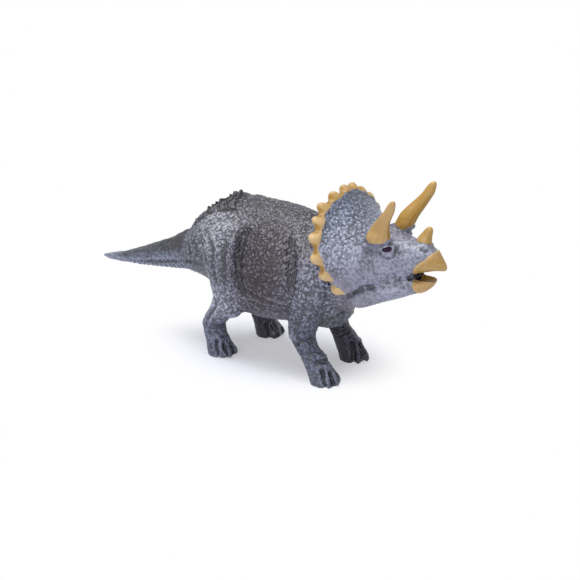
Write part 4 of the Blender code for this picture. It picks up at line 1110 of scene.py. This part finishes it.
# Cutting the pattern into the pieces that are moulded: each keeps the skin nearest to its own
# solid, and its cut is closed. Under the ochre inserts the skin dips in and ends in a cap. The
# ochre of the frill's edge starts a little outside the plate's own edge.
INSERT_LEDGE = 3
INSERT_DIP = 0.3 * MM
UNREACHED = 99
PAINT_EDGE_SHARE = 0.70
LOW_EDGE_EXTRA = 0.25
CAP_EDGE = 2.5 * MM
CAP_DEPTH = 1.0 * MM
CAP_ROUNDS = 5
SEAM_EDGES = 100
turn, out = round_hub(points)
edge_now = np.interp(turn, bin_turns, inner_edge)
paint_share = PAINT_EDGE_SHARE + LOW_EDGE_EXTRA * step(80 * MM, 58 * MM, points[:, 2])
gilded = is_rim & (out > edge_now + paint_share * BAND_WIDTH)
hidden = np.where(is_skin | is_rim, 0, UNREACHED)
for ring in range(INSERT_LEDGE + 1):
    for here, there in ((one_end, other_end), (other_end, one_end)):
        fresh = (hidden[there] == UNREACHED) & (hidden[here] == ring)
        hidden[there[fresh]] = ring + 1
final_normals = directions(pattern.data)
points = places(pattern.data) - final_normals * (np.clip(hidden, 0, INSERT_LEDGE) * INSERT_DIP)[:, None]
put(pattern.data, points)
corner_points = np.array([tuple(polygon.vertices) for polygon in pattern.data.polygons])
painted = gilded[corner_points].sum(1) > 2
face_owner = np.where(gilded, RIM_KIND, owner_now)[corner_points].min(1)
face_owner[painted] = RIM_KIND
painted = face_owner == RIM_KIND
face_hidden = hidden[corner_points].min(1) > INSERT_LEDGE
rim_seam = np.zeros(count, bool)
rim_seam[corner_points[painted].ravel()] = True
unpainted = np.zeros(count, bool)
unpainted[corner_points[~painted].ravel()] = True
rim_seam &= unpainted
front_side = smoothed(final_normals, 1.0, 10)[:, 0]
skin_tree = BVHTree.FromPolygons([tuple(p) for p in points], corner_points.tolist())


def close_under_skin(bm, source):
    """Caps the open edges. The caps stay below the skin of the pieces that the cut meets."""
    open_edges = [edge for edge in bm.edges if edge.is_boundary]
    caps = bmesh.ops.holes_fill(bm, edges=open_edges, sides=0)["faces"]
    for face in bmesh.ops.triangulate(bm, faces=caps)["faces"]:
        face.material_index = 1
    for _ in range(CAP_ROUNDS):
        caps = [face for face in bm.faces if face.material_index == 1]
        spans = {edge for face in caps for edge in face.edges if edge.calc_length() > CAP_EDGE}
        fresh = bmesh.ops.subdivide_edges(bm, edges=list(spans), cuts=1)["geom_inner"]
        for vert in fresh:
            if isinstance(vert, bmesh.types.BMVert):
                vert[source] = -1
                spot, outward = skin_tree.find_nearest(vert.co)[:2]
                if (vert.co - spot).dot(outward) > -CAP_DEPTH:
                    vert.co = spot - outward * CAP_DEPTH
        uneven = [face for face in bm.faces if face.material_index == 1 and len(face.verts) > 3]
        bmesh.ops.triangulate(bm, faces=uneven)
    for face in bm.faces:
        face.material_index = 0


def cut_piece(node, k):
    """The part of the pattern that belongs to one moulding, closed where it was cut."""
    bm = bmesh.new()
    bm.from_mesh(pattern.data)
    bm.faces.ensure_lookup_table()
    source = bm.verts.layers.int.new("source")
    for vert in bm.verts:
        vert[source] = vert.index
    others = [bm.faces[i] for i in np.nonzero((face_owner != k) | face_hidden)[0]]
    bmesh.ops.delete(bm, geom=others, context="FACES")
    along_rim = [
        edge for edge in bm.edges
        if edge.is_boundary and all(rim_seam[vert[source]] for vert in edge.verts)
    ]
    if len(along_rim) > SEAM_EDGES:
        sides = []
        for sign in (1, -1):
            edges = [e for e in along_rim if all(sign * front_side[v[source]] > 0 for v in e.verts)]
            sides += linked_groups(edges, lambda edge: [e for v in edge.verts for e in v.link_edges])[-1]
        bmesh.ops.bridge_loops(bm, edges=sides)
    close_under_skin(bm, source)
    piece = as_object(bm, node + "_skin")
    mesh = piece.data
    mesh.shade_smooth()
    came_from = np.empty(len(mesh.vertices), np.int32)
    mesh.attributes["source"].data.foreach_get("value", came_from)
    given = np.where(came_from[:, None] < 0, 0.0, final_normals[came_from])
    mesh.normals_split_custom_set_from_vertices(given.tolist())
    mesh.attributes.remove(mesh.attributes["source"])
    return piece


def new_material(name):
    material = bpy.data.materials.new(name)
    material.use_nodes = True
    material.node_tree.nodes.clear()
    return material, material.node_tree


def plug(tree, kind, settings=(), links=()):
    """Adds a node with its settings and links. A link is (socket, node or its output)."""
    node = tree.nodes.new("ShaderNode" + kind)
    for key, value in dict(settings).items():
        if isinstance(key, str) and hasattr(node, key):
            setattr(node, key, value)
        else:
            node.inputs[key].default_value = value
    for key, source in dict(links).items():
        output = source if isinstance(source, bpy.types.NodeSocket) else source.outputs[0]
        tree.links.new(output, node.inputs[key])
    return node


def opaque(colour):
    return (*linear(colour), 1.0)


def here(tree):
    return plug(tree, "TexCoord").outputs["Object"]


def painted_value(tree, name, output="Fac"):
    return plug(tree, "Attribute", {"attribute_name": name}).outputs[output]


def clouds(tree, where, size, detail):
    """Noise with swells of that size."""
    return plug(tree, "TexNoise", {"Scale": 1 / size, "Detail": detail}, {"Vector": where})


def ramp(tree, value, low, high, bottom=0.0, top=1.0):
    settings = {"interpolation_type": "SMOOTHSTEP", 1: low, 2: high, 3: bottom, 4: top}
    return plug(tree, "MapRange", settings, {0: value})


def mixed(tree, share, first, second):
    """Two colours blended. Each is a hex colour or a node's output."""
    node = plug(tree, "Mix", {"data_type": "RGBA"}, {0: share})
    for socket, colour in ((node.inputs[6], first), (node.inputs[7], second)):
        if isinstance(colour, str):
            socket.default_value = opaque(colour)
        else:
            tree.links.new(colour, socket)
    return node.outputs[2]


def surfaced(tree, settings, links):
    shader = plug(tree, "BsdfPrincipled", settings, links)
    plug(tree, "OutputMaterial", {}, {"Surface": shader})


# Matt moulded PVC under dry-brushed paint: creases stay near black-violet, tops catch pale
# lavender, and a fine pebble breaks up the light.
DRY_BRUSH = "#c3c5d3"
PRESSED_BEADS = 1.9 * MM
BEAD_DRIFT = 1.8 * MM
DRIFT_SIZE = 3.5 * MM
WASH_PATCHES = 11 * MM
BRUSH_SPECKLE = 0.6 * MM
PEBBLE_BUMP = 0.28 * MM


def painted_pvc():
    material, tree = new_material("dry_brushed_pvc")
    where = here(tree)
    # beads about 1.9 mm apart, drawn out and bent by a slower drift of the grid
    drift = clouds(tree, where, DRIFT_SIZE, 1.0).outputs["Color"]
    bend = plug(tree, "VectorMath", {"operation": "SCALE", "Scale": BEAD_DRIFT}, {0: drift})
    bent = plug(tree, "VectorMath", {"operation": "ADD"}, {0: where, 1: bend})
    settings = {"feature": "SMOOTH_F1", "Scale": 1 / PRESSED_BEADS, "Smoothness": 0.3}
    beads = plug(tree, "TexVoronoi", settings, {"Vector": bent})
    domed = ramp(tree, beads.outputs["Distance"], 0.72, 0.12, -1.0, 1.0)
    pressed = plug(tree, "Math", {"operation": "MULTIPLY"}, {0: domed, 1: painted_value(tree, "grain")})
    # patches of heavier wash about 11 mm wide, and brush speckle about 0.6 mm wide
    patches = clouds(tree, where, WASH_PATCHES, 3.0)
    speckle = clouds(tree, where, BRUSH_SPECKLE, 1.0)
    level = painted_value(tree, "wash")
    for source, share, offset in ((pressed, 0.20, 0.0), (patches, 0.34, -0.17), (speckle, 0.14, -0.07)):
        part = plug(tree, "Math", {"operation": "MULTIPLY_ADD", 1: share, 2: offset}, {0: source})
        level = plug(tree, "Math", {"operation": "ADD"}, {0: level, 1: part})
    strength = ramp(tree, level, 0.14, 0.74, 0.26, 1.14)
    spray = painted_value(tree, "tone", "Color")
    washed = plug(tree, "VectorMath", {"operation": "SCALE"}, {0: spray, "Scale": strength})
    brushed = ramp(tree, level, 0.62, 1.10, 0.0, 0.24)
    load = painted_value(tree, "brush")
    brushed = plug(tree, "Math", {"operation": "MULTIPLY"}, {0: brushed, 1: load})
    paint = mixed(tree, brushed, washed.outputs[0], DRY_BRUSH)
    raised = plug(tree, "Math", {"operation": "MULTIPLY_ADD", 1: 0.30}, {0: speckle, 2: pressed})
    bump = plug(tree, "Bump", {"Strength": 0.9, "Distance": PEBBLE_BUMP}, {"Height": raised})
    surfaced(tree, {"Roughness": 0.36, "IOR": 1.53}, {"Base Color": paint, "Normal": bump})
    return material


rim_piece = cut_piece("frill_rim", RIM_KIND)
skin_paint = painted_pvc()
for k, node in enumerate(SKIN_NODES):
    piece = cut_piece(node, k)
    piece.data.materials.append(skin_paint)
    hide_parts(node)
    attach(piece, "root")
bpy.data.objects.remove(pattern)


# Horns, beak and frill edge: smooth ochre PVC inserts, pressed into sockets in the head before
# painting. A brown-gold wash gathers toward their tips and edges and in the scallops; part of it
# is painted shade: round the back of each brow horn, on the beaks' sides that face into the mouth
# and in the scallops' valleys. The tan on the brow horns' outward sides is painted light, and the
# cream on the scallops' knobs partly so.
INSERT_VOXEL = 0.35 * MM
FOOT_SINK = 1.4 * MM
WAVER = 0.04 * MM
WAVER_SIZE = 1.4 * MM
CREAM = "#e2c594"
TAN = "#bb965a"
GOLD = "#a67c20"
BROWN = "#6f5024"
BRUSH_MARKS = 1.6 * MM
MARK_STRETCH = (1.0, 1.0, 0.45)
MARK_BUMP = 0.1 * MM


def insert_piece(node):
    """One ochre insert with its own net and places, shaped as the pattern was."""
    if node == "frill_rim":
        return rim_piece, Net(rim_piece.data), places(rim_piece.data)
    piece = remeshed(merged_copy(node, node + "_insert"), INSERT_VOXEL)
    net = Net(piece.data)
    spots = net.smoothed(places(piece.data), 0.5, 6)
    spots += directions(piece.data) * (WAVER * noise(spots / WAVER_SIZE))[:, None]
    if "horn" in node:
        spots = lean_horns(shaped_horn(spots, node))
    if node == "upper_beak":
        spots = hook_beak(spots)
    put(piece.data, spots)
    if "brow" in node:
        across, down = pixels_of(spots * (1, -1 if node.endswith("left") else 1, 1))
        below = step(-0.5, 1.5, down - np.interp(across, COLLAR_ACROSS, COLLAR_DOWN))
        spots = spots - directions(piece.data) * (FOOT_SINK * below)[:, None]
        put(piece.data, spots)
    piece.data.shade_smooth()
    return piece, net, spots


# Satin ochre over tan plastic: it gives the soft, even shine of horn, with brush marks 1.6 mm
# wide that are drawn out along the height.
def painted_insert():
    material, tree = new_material("satin_ochre_pvc")
    along = plug(tree, "Mapping", {"Scale": MARK_STRETCH}, {"Vector": here(tree)})
    marks = clouds(tree, along, BRUSH_MARKS, 4.0)
    uneven = plug(tree, "Math", {"operation": "MULTIPLY_ADD", 1: 0.9, 2: -0.45}, {0: marks})
    level = plug(tree, "Math", {"operation": "ADD"}, {0: painted_value(tree, "gold"), 1: uneven})
    warm = mixed(tree, ramp(tree, level, 0.15, 0.85), TAN, GOLD)
    warm = mixed(tree, painted_value(tree, "cream"), warm, CREAM)
    dark = painted_value(tree, "brown")
    blotch = plug(tree, "Math", {"operation": "MULTIPLY_ADD", 1: 1.2, 2: 0.3}, {0: marks})
    shade = plug(tree, "Math", {"operation": "MULTIPLY", "use_clamp": True}, {0: dark, 1: blotch})
    paint = mixed(tree, shade, warm, BROWN)
    bump = plug(tree, "Bump", {"Strength": 0.35, "Distance": MARK_BUMP}, {"Height": marks})
    surfaced(tree, {"Roughness": 0.42, "IOR": 1.53}, {"Base Color": paint, "Normal": bump})
    return material


CAVITY_DEPTH = 0.15 * MM
ochre_paint = painted_insert()
for node in OCHRE_NODES:
    piece, net, spots = insert_piece(node)
    low, high = box_of(node)
    along = (spots - low) / (high - low)
    facing = directions(piece.data)
    cavity = np.einsum("ij,ij->i", net.smoothed(spots, 1.0, 12) - spots, facing) / CAVITY_DEPTH
    cupped = np.clip(cavity, -1, 1)
    gold = 0.42 + 0.30 * cupped
    brown = 0.08 * np.clip(cavity, 0, 1)
    cream = 0.25 * np.clip(-cupped, 0, 1)
    if "brow_horn" in node:
        # painted light and shade: tan on the side that faces out from the head, darker gold round the back;
        # the gold tip is the horn's own paint
        outward = facing[:, 1] * (1 if node.endswith("left") else -1)
        gold = 0.95 - 0.90 * step(0.10, 0.75, outward) + 0.5 * step(0.80, 1.0, along[:, 2])
        brown = 0.30 * step(0.16, 0.04, along[:, 2])
    elif node == "nose_horn":
        gold = 0.35 + 0.35 * step(0.6, 1.0, along[:, 2]) + 0.3 * step(0.2, 0.8, facing[:, 0])
        brown = 0.35 * step(0.42, 0.28, along[:, 2])
    elif node == "frill_rim":
        # darker gold and brown in the scallops' valleys are partly a wash and partly painted shade; cream on
        # the knobs is partly dry brush and partly a painted highlight
        valley = off_tips(round_hub(spots)[0])
        crown = step(0.7, 0.95, along[:, 2])
        gold = 0.38 + 0.45 * valley + 0.45 * cupped + 0.4 * crown
        cream = (0.40 - 0.35 * crown) * step(0.7, 0.1, valley) + 0.15 * np.clip(-cupped, 0, 1)
        brown = 0.10 + 0.30 * np.clip(cavity, 0, 1) * valley
    else:
        gold = 0.50 + 0.35 * cupped + 0.25 * step(0.7, 1.0, along[:, 0])
        # brown on the upper beak's underside and the lower beak's top, facing into the mouth: painted shade
        brown += 0.35 * step(0.3, 0.9, facing[:, 2] * (1 if node == "lower_beak" else -1))
    give(piece.data, "gold", gold)
    give(piece.data, "brown", brown)
    give(piece.data, "cream", cream)
    piece.data.materials.append(ochre_paint)
    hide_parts(node)
    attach(piece, "root")


# Eyes: glossy purple-black drops of enamel in the almond sockets. They give one small, sharp
# glint, and a cloudy plum tint.
EYE_DARK = "#1c0c22"
EYE_PLUM = "#3a1836"
ENAMEL_CLOUDS = 1.2 * MM
EYE_BALL = Vector((EYE_HALF_LENGTH + 0.1, EYE_HALF_HEIGHT + 0.15, 1.5))
EYE_SINK = 1.35 * MM


def gloss_enamel():
    material, tree = new_material("gloss_eye_enamel")
    colour = mixed(tree, clouds(tree, here(tree), ENAMEL_CLOUDS, 2.0), EYE_DARK, EYE_PLUM)
    settings = {"Roughness": 0.22, "IOR": 1.45, "Specular IOR Level": 0.22}
    surfaced(tree, settings, {"Base Color": colour})
    return material


eye_paint = gloss_enamel()
for side, name in ((1, "right_eye"), (-1, "left_eye")):
    bm = bmesh.new()
    bmesh.ops.create_uvsphere(bm, u_segments=48, v_segments=24, radius=1.0)
    bmesh.ops.scale(bm, verts=bm.verts, vec=EYE_BALL * MM)
    bmesh.ops.rotate(bm, verts=bm.verts, matrix=Matrix(eye_frame.tolist()).transposed())
    bmesh.ops.translate(bm, verts=bm.verts, vec=eye_spot - out_axis * EYE_SINK)
    if side < 0:
        bmesh.ops.scale(bm, verts=bm.verts, vec=(1, -1, 1))
        bmesh.ops.reverse_faces(bm, faces=bm.faces)
    eye = as_object(bm, name)
    eye.data.shade_smooth()
    eye.data.materials.append(eye_paint)
    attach(eye, "root")


# Studio: a white sweep, a broad lamp overhead and a pale room. For the camera the sheet glows as
# painted light: a little under the body, which lightens the figure's soft shadow, and pure white
# further out, which fades out the shadows of head and tail.
PAPER = "#e9ebfb"
WHITE = (1.0, 1.0, 1.0, 1.0)
ROOM_LIGHT = (0.97, 0.98, 1.0, 1.0)
ROOM_POWER = 0.34
FLOOR_GLOW = 0.38
FLOOR_SHIFT = (-0.004, -0.010, 0.0)
FLOOR_STRETCH = (1.0, 1.35, 1.0)
FLOOR_NEAR = 0.040
FLOOR_FAR = 0.090
FLOOR_HALF = 3.0
FLOOR_DROP = 0.05 * MM


def looked_at(tree):
    """1 where the camera sees the surface itself, a mirror image of it or through glass."""
    rays = plug(tree, "LightPath").outputs
    direct = rays["Is Camera Ray"]
    for other in ("Is Glossy Ray", "Is Transmission Ray"):
        direct = plug(tree, "Math", {"operation": "MAXIMUM"}, {0: direct, 1: rays[other]})
    return direct


def paper():
    material, tree = new_material("white_paper_sweep")
    sheet = plug(tree, "BsdfDiffuse", {"Color": opaque(PAPER)})
    glow = plug(tree, "Emission", {"Color": WHITE, "Strength": 1.0})
    settings = {"Location": FLOOR_SHIFT, "Scale": FLOOR_STRETCH}
    centred = plug(tree, "Mapping", settings, {"Vector": here(tree)})
    reach = plug(tree, "VectorMath", {"operation": "LENGTH"}, {0: centred}).outputs["Value"]
    fade = ramp(tree, reach, FLOOR_NEAR, FLOOR_FAR, FLOOR_GLOW, 1.0)
    share = plug(tree, "Math", {"operation": "MULTIPLY"}, {0: looked_at(tree), 1: fade})
    both = plug(tree, "MixShader", {}, {0: share, 1: sheet, 2: glow})
    plug(tree, "OutputMaterial", {}, {"Surface": both})
    return material


bm = bmesh.new()
bmesh.ops.create_grid(bm, x_segments=2, y_segments=2, size=FLOOR_HALF)
bmesh.ops.translate(bm, verts=bm.verts, vec=(0, 0, cad_box[0][2] - FLOOR_DROP))
floor = as_object(bm, "paper_sweep")
floor.data.materials.append(paper())

world = bpy.data.worlds.new("pale_room")
world.use_nodes = True
tree = world.node_tree
tree.nodes.clear()
room = plug(tree, "Background", {"Color": ROOM_LIGHT, "Strength": ROOM_POWER})
white = plug(tree, "Background", {"Color": WHITE, "Strength": 1.0})
both = plug(tree, "MixShader", {}, {0: looked_at(tree), 1: room, 2: white})
plug(tree, "OutputWorld", {}, {"Surface": both})
scene.world = world


def softbox(name, place, size, power, aim=(0.0, 0.0, 0.045)):
    lamp = bpy.data.lights.new(name, "AREA")
    lamp.shape = "SQUARE"
    lamp.size = size
    lamp.energy = power
    obj = bpy.data.objects.new(name, lamp)
    scene.collection.objects.link(obj)
    turned = (Vector(place) - Vector(aim)).to_track_quat("Z", "Y")
    obj.matrix_world = Matrix.Translation(Vector(place)) @ turned.to_matrix().to_4x4()


softbox("overhead_box", (-0.14, -0.10, 1.00), 0.60, 8.4)
softbox("front_box", (0.10, -1.0, 0.35), 0.60, 3.2)

scene.view_settings.view_transform = "Standard"
